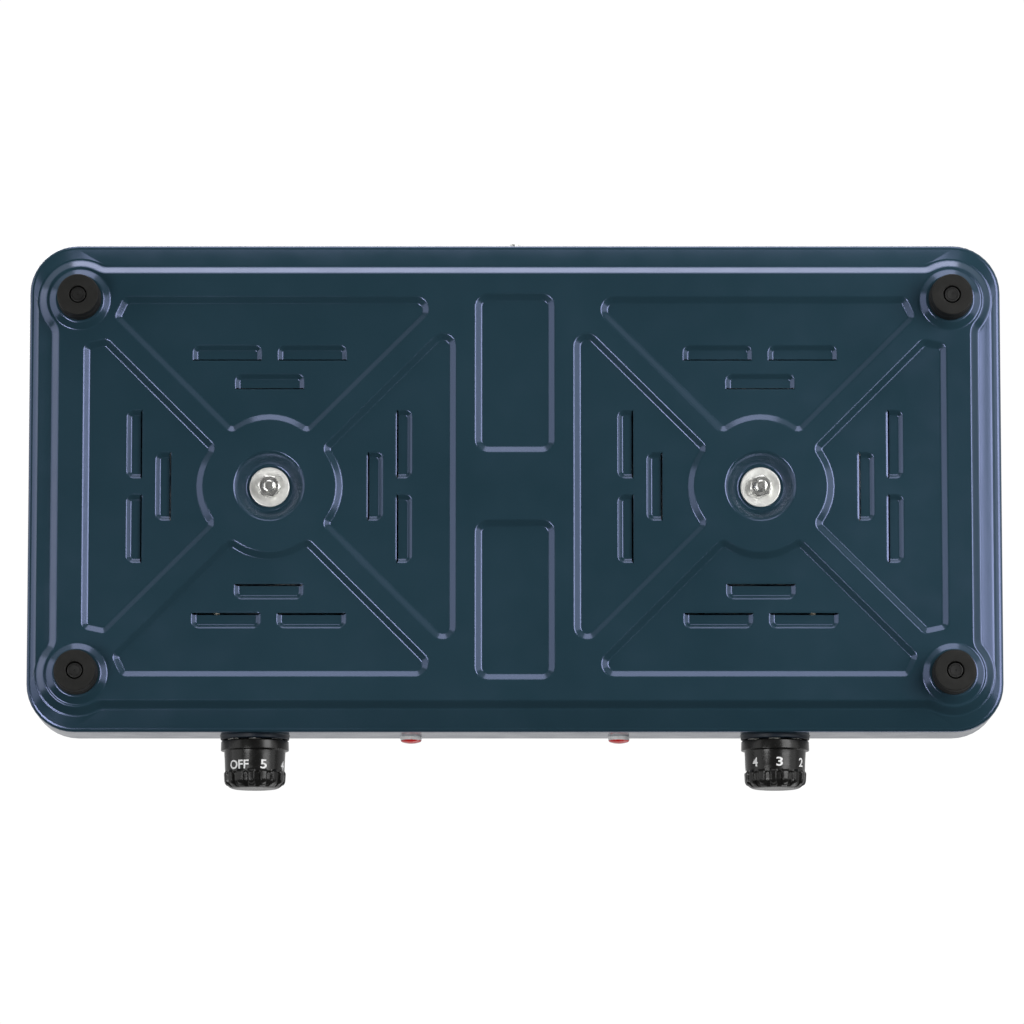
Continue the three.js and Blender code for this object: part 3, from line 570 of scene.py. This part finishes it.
foot_profile = [(FOOT_BORE, 0.9)] + rounding(FOOT_BORE + 0.5, 0.5, 0.5, 180, 270, 4)
foot_profile += rounding(FOOT_FACE - 0.6, 0.6, 0.6, -90, 0, 5)
foot_profile += [(FOOT_FACE + 0.25, 5), (FOOT_FACE + 0.3, 5.2), (FOOT_SEAM, 5.3), (FOOT_SEAM, 5.6),
                 (FOOT_FACE + 0.33, 5.75), (FOOT_WAIST - 0.2, 12.4)]
foot_profile += rounding(FOOT_WAIST - 0.5, FOOT_TOP - 0.6, 0.5, 0, 90, 4)
foot_profile += [(FOOT_BORE, FOOT_TOP - 0.1), (FOOT_BORE, 0.9)]
foot = turned("foot", foot_profile, FOOT_SIDES)
shade(foot)
pin_profile = [(0, 0.85), (0.35, 0.85), (0.5, 0.7), (2.5, 0.62), (2.65, 0.78), (2.95, 0.78), (3.1, 0.62)]
pin_profile += rounding(PIN_HEAD - 0.35, 0.95, 0.35, -90, 0, 4)
pin_profile += [(PIN_HEAD, 3.2), (PIN_STEM, 3.4), (PIN_STEM, 19.6), (0, 20)]
pin = turned("pin", pin_profile, PIN_SIDES)
shade(pin)

rubber = surface("moulded_rubber", ((0.0110, 0.0110, 0.0102), (0.0150, 0.0150, 0.0140)), (120, 3),
                 (0.55, 0.72), (300, 3), grain=(2600, 3, 0.02), specular=0.2)
pin_plastic = surface("pin_plastic", ((0.0075, 0.0075, 0.0075), (0.0105, 0.0105, 0.0100)), (200, 3),
                      (0.4, 0.55), (500, 3), grain=(1800, 2, 0.01), specular=0.3)
foot.data.materials.append(rubber)
pin.data.materials.append(pin_plastic)
for corner in ("rear_left", "rear_right", "front_left", "front_right"):
    x = FOOT_X if corner.endswith("right") else -FOOT_X
    y = PAN_CENTRE_Y + (FOOT_Y if corner.startswith("rear") else -FOOT_Y)
    for model, node, slot in ((foot, "foot_", "foot_rubber"), (pin, "foot_pin_", "black_plastic")):
        piece = place_copy(model, "moulded_" + node + corner, x, y)
        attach(piece, "root")
        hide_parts(node + corner)
for model in (foot, pin):
    bpy.data.objects.remove(model)

# ---------------------------------------------------------------- plate fixings
# Each hotplate is pulled down by an M6 stud through the dish: a thin washer in dull zinc, then a
# spring washer and a hexagon nut in bright zinc, with the thread's end left proud.
stud_low, stud_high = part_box("centre_stud_left")
washer_low, washer_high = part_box("stud_washer_left")
nut_low, nut_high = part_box("stud_nut_left")
STUD_END, STUD_TOP = stud_low[2] / MM, stud_high[2] / MM
WASHER_LOW, WASHER_TOP = washer_low[2] / MM, washer_high[2] / MM
NUT_LOW, NUT_TOP = nut_low[2] / MM, nut_high[2] / MM
THREAD_PITCH = 0.9
SPRING_R, SPRING_WIDE, SPRING_TALL = 4.35, 1.7, 1.15
NUT_R = 5.77
STUD_TURN = {"left": 14, "right": 37}  # degrees, as each nut happened to stop

washer_profile = [(3.3, WASHER_LOW + 0.1), (3.5, WASHER_LOW), (9.2, WASHER_LOW + 0.05)]
washer_profile += rounding(9.5, WASHER_LOW + 0.5, 0.5, -90, 90, 8)
washer_profile += [(3.5, WASHER_TOP), (3.3, WASHER_TOP - 0.1), (3.3, WASHER_LOW + 0.1)]
washer = turned("washer", washer_profile, 96)
shade(washer, 30)

# The spring washer under the nut is a flat ring with a split in it.
bpy.ops.mesh.primitive_plane_add(size=0.001)
spring = bpy.context.object
bpy.ops.object.mode_set(mode="EDIT")
bpy.ops.transform.resize(value=(SPRING_WIDE, SPRING_TALL, 1), center_override=(0, 0, 0))
bpy.ops.transform.rotate(value=math.pi / 2, orient_axis="X", center_override=(0, 0, 0))
bpy.ops.transform.translate(value=(SPRING_R * MM, 0, (WASHER_LOW - 0.62) * MM))
bpy.ops.mesh.spin(steps=60, dupli=False, angle=math.radians(349), center=(0, 0, 0), axis=(0, 0, 1))
bpy.ops.mesh.select_all(action="SELECT")
bpy.ops.mesh.remove_doubles(threshold=0.000001)
bpy.ops.mesh.normals_make_consistent(inside=False)
bpy.ops.object.mode_set(mode="OBJECT")
shade(spring, 40)

bpy.ops.mesh.primitive_cylinder_add(vertices=6, radius=NUT_R * MM, depth=(NUT_TOP - NUT_LOW) * MM,
                                    location=(0, 0, (NUT_TOP + NUT_LOW) / 2 * MM))
nut = bpy.context.object
nut.data.transform(nut.matrix_world)
nut.matrix_world = Matrix.Identity(4)
cone_profile = [(2.9, NUT_LOW - 0.01), (4.7, NUT_LOW - 0.01), (6.4, NUT_LOW + 0.95), (6.4, NUT_TOP - 0.95),
                (4.7, NUT_TOP + 0.01), (2.9, NUT_TOP + 0.01), (2.9, NUT_LOW - 0.01)]
cone = turned("nut_cone", cone_profile, 72)
trim = nut.modifiers.new("chamfer", "BOOLEAN")
trim.operation = "INTERSECT"
trim.object = cone
bpy.context.view_layer.objects.active = nut
bpy.ops.object.modifier_apply(modifier=trim.name)
bpy.data.objects.remove(cone)
edge = nut.modifiers.new("edge", "BEVEL")
edge.width = 0.12 * MM
edge.segments = 2
bpy.ops.object.modifier_apply(modifier=edge.name)
shade(nut, 25)

thread = [(0, STUD_END), (1.9, STUD_END), (2.35, STUD_END + 0.35)]
z = STUD_END + 0.5
while z < WASHER_LOW + 4:
    thread += [(2.88, z), (2.93, z + 0.1), (2.45, z + THREAD_PITCH / 2), (2.45, z + THREAD_PITCH / 2 + 0.08)]
    z += THREAD_PITCH
thread += [(2.8, z + 0.5), (2.8, STUD_TOP - 0.5), (2.4, STUD_TOP), (0, STUD_TOP)]
stud = turned("stud", thread, 48)
shade(stud, 25)

dull_zinc = surface("dull_zinc", ((0.78, 0.78, 0.75), (0.94, 0.94, 0.90)), (260, 3),
                    (0.34, 0.5), (700, 3), grain=(1300, 3, 0.014), metallic=0.5)
bright_zinc = surface("polished_zinc", ((0.72, 0.72, 0.70), (0.86, 0.86, 0.83)), (260, 3),
                      (0.2, 0.3), (700, 3), grain=(600, 2, 0.004), metallic=0.9)
for model, node, finish in ((washer, "stud_washer_", dull_zinc), (nut, "stud_nut_", bright_zinc),
                            (stud, "centre_stud_", bright_zinc), (spring, "spring_washer_", bright_zinc)):
    model.data.materials.clear()
    model.data.materials.append(finish)
    for hand, x in (("left", -PLATE_X), ("right", PLATE_X)):
        turned_by = Matrix.Rotation(math.radians(STUD_TURN[hand]), 4, "Z")
        piece = place_copy(model, "zinc_" + node + hand, 0, 0)
        piece.data.transform(Matrix.Translation((x * MM, PAN_CENTRE_Y * MM, 0)) @ turned_by)
        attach(piece, "root")
        if node != "spring_washer_":
            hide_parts(node + hand)
    bpy.data.objects.remove(model)

# ---------------------------------------------------------------- housing
# One deep-drawn steel shell over the pan, enamelled the same slate blue: rounded walls and deck
# edges, and a raised collar round each hotplate opening.
house_low, house_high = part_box("top_housing")
HOUSE_FOOT, COLLAR_TOP = house_low[2] / MM, house_high[2] / MM
DECK_Z, DECK_EDGE, HOUSE_SHEET = COLLAR_TOP - 2.5, 9, 1.0
COLLAR_MID, COLLAR_STEP, OPENING, OPENING_ROUND = 92.5, 5, 72.6, 1.5

shell = Pressing()
wall = [(0, HOUSE_FOOT), (0, HOUSE_FOOT + 1), (0, 42), (0, DECK_Z - DECK_EDGE - 0.5)]
wall += [(-DECK_EDGE + DECK_EDGE * math.cos(a), DECK_Z - DECK_EDGE + DECK_EDGE * math.sin(a))
         for a in [math.radians(7.5 * k) for k in range(13)]] + [(-DECK_EDGE - 0.5, DECK_Z)]
_, deck_edge = shell.strip(box_outline(PAN_X, PAN_Y, BODY_CORNER), wall)
collars = []
for x in (-PLATE_X, PLATE_X):
    collar = pressed(COLLAR_STEP, DECK_Z, COLLAR_TOP) + [(OPENING + 1.6 - COLLAR_MID, COLLAR_TOP)]
    for a in [math.radians(15 * k) for k in range(7)]:
        collar.append((OPENING - COLLAR_MID + OPENING_ROUND * (1 - math.sin(a)),
                       COLLAR_TOP - OPENING_ROUND * (1 - math.cos(a))))
    collar.append((OPENING - COLLAR_MID, COLLAR_TOP - 5))
    collar_out, _ = shell.strip(ring(x, 0, COLLAR_MID, 144), collar)
    collars.append(collar_out)
shell.flat(deck_edge, *collars)
housing = shell.finish("drawn_housing", (0, PAN_CENTRE_Y), HOUSE_SHEET, down=False)
housing.data.materials.append(enamel)
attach(housing, "root")
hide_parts("top_housing")

# ---------------------------------------------------------------- hotplates
# Two cast-iron plates with turned concentric grooves round a sunk middle, seated in bright pressed
# steel trim rings on the collars.
plate_low, plate_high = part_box("hotplate_left")
PLATE_TOP, PLATE_FOOT = plate_high[2] / MM, plate_low[2] / MM
PLATE_R = (plate_high[0] - plate_low[0]) / 2 / MM
GROOVE_START, GROOVE_PITCH, GROOVE_DEEP = 21.2, 1.7, 0.22
MIDDLE_R, MIDDLE_DEEP = 17.6, 1.5

plate_profile = [(0, PLATE_TOP - MIDDLE_DEEP), (MIDDLE_R, PLATE_TOP - MIDDLE_DEEP), (18.4, PLATE_TOP - 1.2),
                 (19.4, PLATE_TOP - 0.3), (20.2, PLATE_TOP)]
r = GROOVE_START
while r < PLATE_R - 3.4:
    plate_profile += [(r, PLATE_TOP), (r + 0.35, PLATE_TOP - GROOVE_DEEP), (r + 0.6, PLATE_TOP - GROOVE_DEEP),
                      (r + 0.95, PLATE_TOP)]
    r += GROOVE_PITCH
plate_profile += rounding(PLATE_R - 2, PLATE_TOP - 2, 2, 90, 0, 7)
plate_profile += [(PLATE_R, 71.2), (PLATE_R - 0.7, 70.4), (70.6, 70.3), (70.4, PLATE_FOOT + 0.4),
                  (70, PLATE_FOOT), (66, PLATE_FOOT), (65.6, 63), (0, 63)]
plate = turned("plate", plate_profile, 128)
shade(plate, 20)
cast_iron = surface("blackened_iron", ((0.020, 0.020, 0.022), (0.042, 0.041, 0.041)), (90, 5),
                    (0.42, 0.62), (240, 3), grain=(1500, 4, 0.03), metallic=0.35)
plate.data.materials.append(cast_iron)

ring_low, ring_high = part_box("trim_ring_left")
RING_R, RING_FOOT, RING_TOP = (ring_high[0] - ring_low[0]) / 2 / MM, ring_low[2] / MM, ring_high[2] / MM
RING_BORE = 72.9
ring_profile = [(RING_BORE, RING_FOOT + 0.1), (RING_BORE, RING_FOOT + 1.4), (78.2, RING_FOOT + 1.35)]
ring_profile += [(78.9, RING_FOOT + 1.6), (80.0, RING_TOP - 0.35), (81.5, RING_TOP), (83.0, RING_TOP - 0.3),
                 (84.1, RING_TOP - 1.1), (RING_R, RING_FOOT + 0.7), (RING_R - 0.05, RING_FOOT),
                 (RING_R - 0.6, RING_FOOT), (83.6, RING_FOOT + 0.9), (81.5, RING_TOP - 0.7),
                 (79.6, RING_FOOT + 0.9), (78.9, RING_FOOT + 0.1), (RING_BORE, RING_FOOT + 0.1)]
trim_ring = turned("trim", ring_profile, 160)
shade(trim_ring, 40)
trim_steel = surface("bright_trim", ((0.60, 0.61, 0.62), (0.70, 0.70, 0.70)), (180, 3),
                     (0.14, 0.24), (60, 4), grain=(700, 2, 0.006), metallic=1)
trim_ring.data.materials.append(trim_steel)
for hand, x in (("left", -PLATE_X), ("right", PLATE_X)):
    for model, node, slot in ((plate, "hotplate_", "cast_iron"), (trim_ring, "trim_ring_", "trim_steel")):
        piece = place_copy(model, "turned_" + node + hand, x, PAN_CENTRE_Y)
        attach(piece, "root")
        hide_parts(node + hand)
for model in (plate, trim_ring):
    bpy.data.objects.remove(model)

# ---------------------------------------------------------------- control knobs
# Black moulded knobs pushed on the thermostat spindles: a flange at the wall, a plain barrel with
# white printed numbers, and a fluted grip that rounds into the front face.
knob_low, knob_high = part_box("knob_left")
KNOB_X = abs(knob_low[0] + knob_high[0]) / 2 / MM
KNOB_Z = (knob_low[2] + knob_high[2]) / 2 / MM
KNOB_BACK = knob_high[1] / MM
FLUTES, FACE, FRONT_R = 15, 23.8, 4.6
BARREL_R, GRIP_R, PAD_R = 14.95, 14.65, 15.4
GRIP_START, PAD_START, NOTCH_START = 13, 14.6, 17.2
PITCH_ANGLE = math.tau / FLUTES

knob_profile = [(0, 1.6), (6.2, 1.6), (6.2, 0.3), (6.5, 0), (15.9, 0)] + rounding(16.3, 0.6, 0.6, -80, 0, 4)
knob_profile += [(16.95, 2.2), (17.0, 4.2)] + rounding(16.5, 4.4, 0.5, 0, 90, 4)
knob_profile += [(15.6, 4.95), (15.36, 5.15), (15.3, 5.6), (15.22, 7), (15.1, 9), (15.0, 11),
                 (BARREL_R, 12.6)]
out = float(GRIP_START)
while out < FACE - FRONT_R:
    knob_profile.append((BARREL_R - 0.35 * (out - GRIP_START) / (FACE - FRONT_R - GRIP_START), out))
    out += 0.3
knob_profile += rounding(BARREL_R - 0.35 - FRONT_R, FACE - FRONT_R, FRONT_R, 0, 90, 18)
knob_profile += [(9.5, FACE), (9, FACE - 0.02), (5, FACE - 0.12), (0, FACE - 0.15)]
knob = turned("knob", knob_profile, FLUTES * 20)

# The grip gets a raised pad on each flute, with a narrow groove between two pads.
for v in knob.data.vertices:
    radius, height = math.hypot(v.co.x, v.co.y) / MM, v.co.z / MM
    if height < GRIP_START or radius < 9:
        continue
    angle = math.atan2(v.co.y, v.co.x)
    off_pad = abs((angle + PITCH_ANGLE / 2) % PITCH_ANGLE - PITCH_ANGLE / 2) * 15
    off_groove = PITCH_ANGLE * 7.5 - off_pad
    reach = math.hypot(off_pad, max(0, height - (FACE - 3.4)))
    pad = (1 - smooth((reach - 1.3) / 0.7)) * smooth((height - PAD_START) / 1.8)
    arch = math.hypot(off_groove, max(0, NOTCH_START - height))
    groove = (1 - smooth((arch - 0.9) / 0.6)) * smooth((radius - 11.5) / 1.5)
    wanted = radius + pad * (PAD_R - GRIP_R) - 0.6 * groove
    v.co.x *= wanted / radius
    v.co.y *= wanted / radius
shade(knob, 40)

knob_plastic = surface("moulded_black", ((0.0070, 0.0070, 0.0068), (0.0105, 0.0105, 0.0100)), (150, 3),
                       (0.22, 0.3), (420, 3), grain=(2200, 2, 0.006), specular=0.3)
knob.data.materials.append(knob_plastic)

print_white = surface("printed_white", ((0.74, 0.74, 0.74), (0.86, 0.86, 0.86)), (900, 3),
                      (0.45, 0.6), (900, 3))

LABELS = {"OFF": 11.0, "5": 3.3, "4": 3.3, "3": 3.3, "2": 3.3, "1": 1.8}  # each mark's width
LABEL_STEP = 50
LABEL_HEIGHT = 4.5
PRINT_R, PRINT_PROUD = 15.0, 0.10
# At rest: degrees from the top to OFF, the print's distance from the knob's back, and the grip's turn.
KNOB_REST = {"left": (36.0, 11.2, 0), "right": (149.4, 12.5, 5)}


def barrel_label(text, width, angle, middle, x):
    """Printed text wrapped on the barrel, its top towards the wall; the angle runs clockwise from the top."""
    bpy.ops.object.select_all(action="DESELECT")
    bpy.ops.object.text_add()
    label = bpy.context.object
    label.data.body = text
    label.data.align_x = "CENTER"
    label.data.offset = 0.02
    label.data.extrude = 0.01
    bpy.ops.object.convert(target="MESH")
    label = bpy.context.object
    bpy.ops.object.mode_set(mode="EDIT")
    bpy.ops.mesh.select_all(action="SELECT")
    bpy.ops.mesh.remove_doubles(threshold=0.0001)
    for k in range(-7, 8):
        bpy.ops.mesh.select_all(action="SELECT")
        bpy.ops.mesh.bisect(plane_co=(k * 0.15, 0, 0), plane_no=(1, 0, 0))
    bpy.ops.object.mode_set(mode="OBJECT")
    low = [min(v.co[i] for v in label.data.vertices) for i in range(3)]
    high = [max(v.co[i] for v in label.data.vertices) for i in range(3)]
    for v in label.data.vertices:
        across = ((v.co.x - low[0]) / (high[0] - low[0]) - 0.5) * width
        up = ((v.co.y - low[1]) / (high[1] - low[1]) - 0.5) * LABEL_HEIGHT
        out = PRINT_R - (middle - up - 11) * 0.05 + (PRINT_PROUD if v.co.z > 0 else -0.25)
        turn = math.radians(angle) + across / PRINT_R
        v.co = Vector((x + out * math.sin(turn), KNOB_BACK - middle + up, KNOB_Z + out * math.cos(turn))) * MM
    label.data.materials.clear()
    label.data.materials.append(print_white)
    return label


FACE_FRONT = Matrix.Rotation(math.radians(90), 4, "X")  # turns an upright piece to face the front
for hand, x in (("left", -KNOB_X), ("right", KNOB_X)):
    off_angle, middle, extra = KNOB_REST[hand]
    piece = place_copy(knob, "grip_knob_" + hand, 0, 0)
    turn = Matrix.Rotation(math.radians(off_angle + extra), 4, "Z")
    piece.data.transform(Matrix.Translation((x * MM, KNOB_BACK * MM, KNOB_Z * MM)) @ FACE_FRONT @ turn)
    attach(piece, "knob_" + hand)
    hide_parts("knob_" + hand)
    for k, (text, width) in enumerate(LABELS.items()):
        mark = barrel_label(text, width, off_angle + LABEL_STEP * k, middle, x)
        mark.name = mark.data.name = "mark_" + text.lower() + "_" + hand
        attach(mark, "knob_" + hand)
bpy.data.objects.remove(knob)

# ---------------------------------------------------------------- knob seats
# A shallow round seat behind each knob, held to the front wall by the thermostat's screws, which it covers.
# Its enamel is painted shade: far darker and duller than the housing's slate blue, for the shadowed gap behind
# the knob's flange.
SEAT_BORE, SEAT_R, SEAT_OUT = 15.4, 17.2, 2.2
WALL_Y = PAN_CENTRE_Y - PAN_Y
seat_profile = [(SEAT_BORE, -0.3), (SEAT_BORE, SEAT_OUT - 0.2), (SEAT_BORE + 0.2, SEAT_OUT)]
seat_profile += rounding(SEAT_R - 0.6, SEAT_OUT - 0.6, 0.6, 90, 0, 6)
seat_profile += [(SEAT_R, 0.5), (SEAT_R + 0.15, 0.15), (SEAT_R + 0.5, -0.05), (SEAT_R + 0.5, -0.3),
                 (SEAT_BORE, -0.3)]
seat = turned("seat", seat_profile, 96)
shade(seat)
# Painted shade: a near-black navy with little gloss, standing in for the shadow and dark reflection behind
# each knob's flange.
seat_painted_shade_enamel = surface("painted_shade_enamel", ((0.004, 0.009, 0.017), (0.006, 0.013, 0.023)), (200, 3),
                      (0.4, 0.5), (300, 3), specular=0.3)
seat.data.materials.append(seat_painted_shade_enamel)
for hand, x in (("left", -KNOB_X), ("right", KNOB_X)):
    piece = place_copy(seat, "knob_seat_" + hand, 0, 0)
    piece.data.transform(Matrix.Translation((x * MM, WALL_Y * MM, KNOB_Z * MM)) @ FACE_FRONT)
    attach(piece, "root")
bpy.data.objects.remove(seat)

# ---------------------------------------------------------------- lamp lenses
# A small domed lens of red plastic over each neon lamp, clipped into the front wall. A pale
# moulded bezel carries it off the wall.
lens_low, lens_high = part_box("lamp_lens_left")
LENS_R = (lens_high[0] - lens_low[0]) / 2 / MM
LENS_LONG = (lens_high[1] - lens_low[1]) / MM + 1.2
BEZEL_BORE, BEZEL_OUT = LENS_R - 0.9, 1.8
lens_profile = [(0, 0), (LENS_R - 1.2, 0), (LENS_R - 1.2, LENS_LONG - 2.25), (LENS_R - 0.1, LENS_LONG - 2.2)]
lens_profile += [(LENS_R, LENS_LONG - 1.9), (LENS_R - 0.05, LENS_LONG - 1.3),
                 (LENS_R - 0.5, LENS_LONG - 0.85)]
for r in (4.2, 3.6, 3, 2.4, 1.8, 1.2, 0.6, 0):
    lens_profile.append((r, LENS_LONG - 0.75 * (r / (LENS_R - 0.7)) ** 2))
lens = turned("lens", lens_profile, 64)
shade(lens, 40)
red_lens = surface("clear_red", ((0.66, 0.004, 0.006), (0.80, 0.008, 0.012)), (300, 3),
                   (0.06, 0.14), (500, 3), clear=0.1)
lens.data.materials.append(red_lens)
for hand in ("left", "right"):
    low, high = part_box("lamp_lens_" + hand)
    piece = place_copy(lens, "domed_lamp_lens_" + hand, 0, 0)
    centre = Vector(((low[0] + high[0]) / 2, high[1], (low[2] + high[2]) / 2))
    piece.data.transform(Matrix.Translation(centre) @ FACE_FRONT)
    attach(piece, "root")
    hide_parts("lamp_lens_" + hand)
bpy.data.objects.remove(lens)

bezel_profile = [(BEZEL_BORE, -0.4), (BEZEL_BORE, BEZEL_OUT), (LENS_R - 0.4, BEZEL_OUT)]
bezel_profile += rounding(LENS_R - 0.2, BEZEL_OUT - 0.3, 0.3, 90, 0, 4)
bezel_profile += [(LENS_R + 0.1, -0.4), (BEZEL_BORE, -0.4)]
bezel = turned("bezel", bezel_profile, 64)
shade(bezel, 40)
bezel_plastic = surface("pale_bezel", ((0.70, 0.70, 0.70), (0.80, 0.80, 0.80)), (300, 3),
                        (0.35, 0.5), (500, 3))
bezel.data.materials.append(bezel_plastic)
for hand in ("left", "right"):
    low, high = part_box("lamp_lens_" + hand)
    piece = place_copy(bezel, "lamp_bezel_" + hand, 0, 0)
    centre = Vector(((low[0] + high[0]) / 2, WALL_Y * MM, (low[2] + high[2]) / 2))
    piece.data.transform(Matrix.Translation(centre) @ FACE_FRONT)
    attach(piece, "root")
bpy.data.objects.remove(bezel)

# ---------------------------------------------------------------- cable gland
# The cord's entry in the rear wall: a black moulded strain relief, pushed in from outside until
# its flange meets the wall. No cord is fitted, and its bore is blind.
gland_low, gland_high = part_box("cable_gland")
GLAND_R = (gland_high[0] - gland_low[0]) / 2 / MM
GLAND_OUT = (gland_high[1] - PAN_CENTRE_Y * MM - PAN_Y * MM) / MM - 2.1  # past the wall
GLAND_DEEP, GLAND_NECK, GLAND_BORE, BORE_FLOOR = -7.6, 7.2, 4.0, -3.0
gland_profile = [(0, GLAND_DEEP), (7.0, GLAND_DEEP), (GLAND_NECK, -7.3), (GLAND_NECK, 0.1), (GLAND_R, 0.1)]
gland_profile += rounding(GLAND_R - 0.4, 0.7, 0.4, 0, 75, 4) + [(7.4, 1.12), (7.1, 1.25)]
gland_profile += rounding(6.6, GLAND_OUT - 0.5, 0.5, 0, 90, 4)
gland_profile += [(GLAND_BORE + 0.4, GLAND_OUT), (GLAND_BORE, GLAND_OUT - 0.4), (GLAND_BORE, BORE_FLOOR),
                  (0, BORE_FLOOR)]
gland = turned("strain_relief", gland_profile, 72)
centre = Vector(((gland_low[0] + gland_high[0]) / 2, (PAN_CENTRE_Y + PAN_Y) * MM,
                 (gland_low[2] + gland_high[2]) / 2))
gland.data.transform(Matrix.Translation(centre) @ Matrix.Rotation(-math.pi / 2, 4, "X"))
shade(gland)
gland.data.materials.append(pin_plastic)
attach(gland, "root")
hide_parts("cable_gland")

# ---------------------------------------------------------------- works inside the housing
# Steel reflectors, thermostats with brass blades, steatite terminals and sleeved wires, screwed or
# pushed in place. They keep their shapes and show only through the louvres and the plates' gaps.
INSIDE = {
    # slot: dark and light colour, roughness, metallic, grain per metre, grain height
    "reflector_steel": (((0.42, 0.43, 0.44), (0.56, 0.57, 0.58)), (0.35, 0.5), 1.0, 500, 0.02),
    "steatite": (((0.70, 0.65, 0.55), (0.82, 0.78, 0.68)), (0.6, 0.8), 0.0, 1200, 0.03),
    "brass": (((0.52, 0.36, 0.15), (0.66, 0.47, 0.21)), (0.25, 0.4), 1.0, 700, 0.01),
    "pale_plastic": (((0.62, 0.59, 0.50), (0.74, 0.71, 0.62)), (0.4, 0.55), 0.0, 900, 0.01),
    "wire_sleeve": (((0.44, 0.40, 0.32), (0.68, 0.63, 0.52)), (0.7, 0.9), 0.0, 1800, 0.12),
}
slot_finishes = {"zinc_steel": dull_zinc, "black_plastic": knob_plastic, "enamel": enamel,
                 "cast_iron": cast_iron, "trim_steel": trim_steel, "foot_rubber": rubber, "red_lens": red_lens}
for slot, (colours, rough, metallic, grain, tall) in INSIDE.items():
    slot_finishes[slot] = surface("inside_" + slot, colours, (grain / 4, 4), rough, (grain, 3),
                                  grain=(grain, 3, tall), metallic=metallic)
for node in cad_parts.values():
    for slot in node.material_slots:
        kind = slot.material.name.split(".")[0]
        if kind in slot_finishes:
            slot.material = slot_finishes[kind]
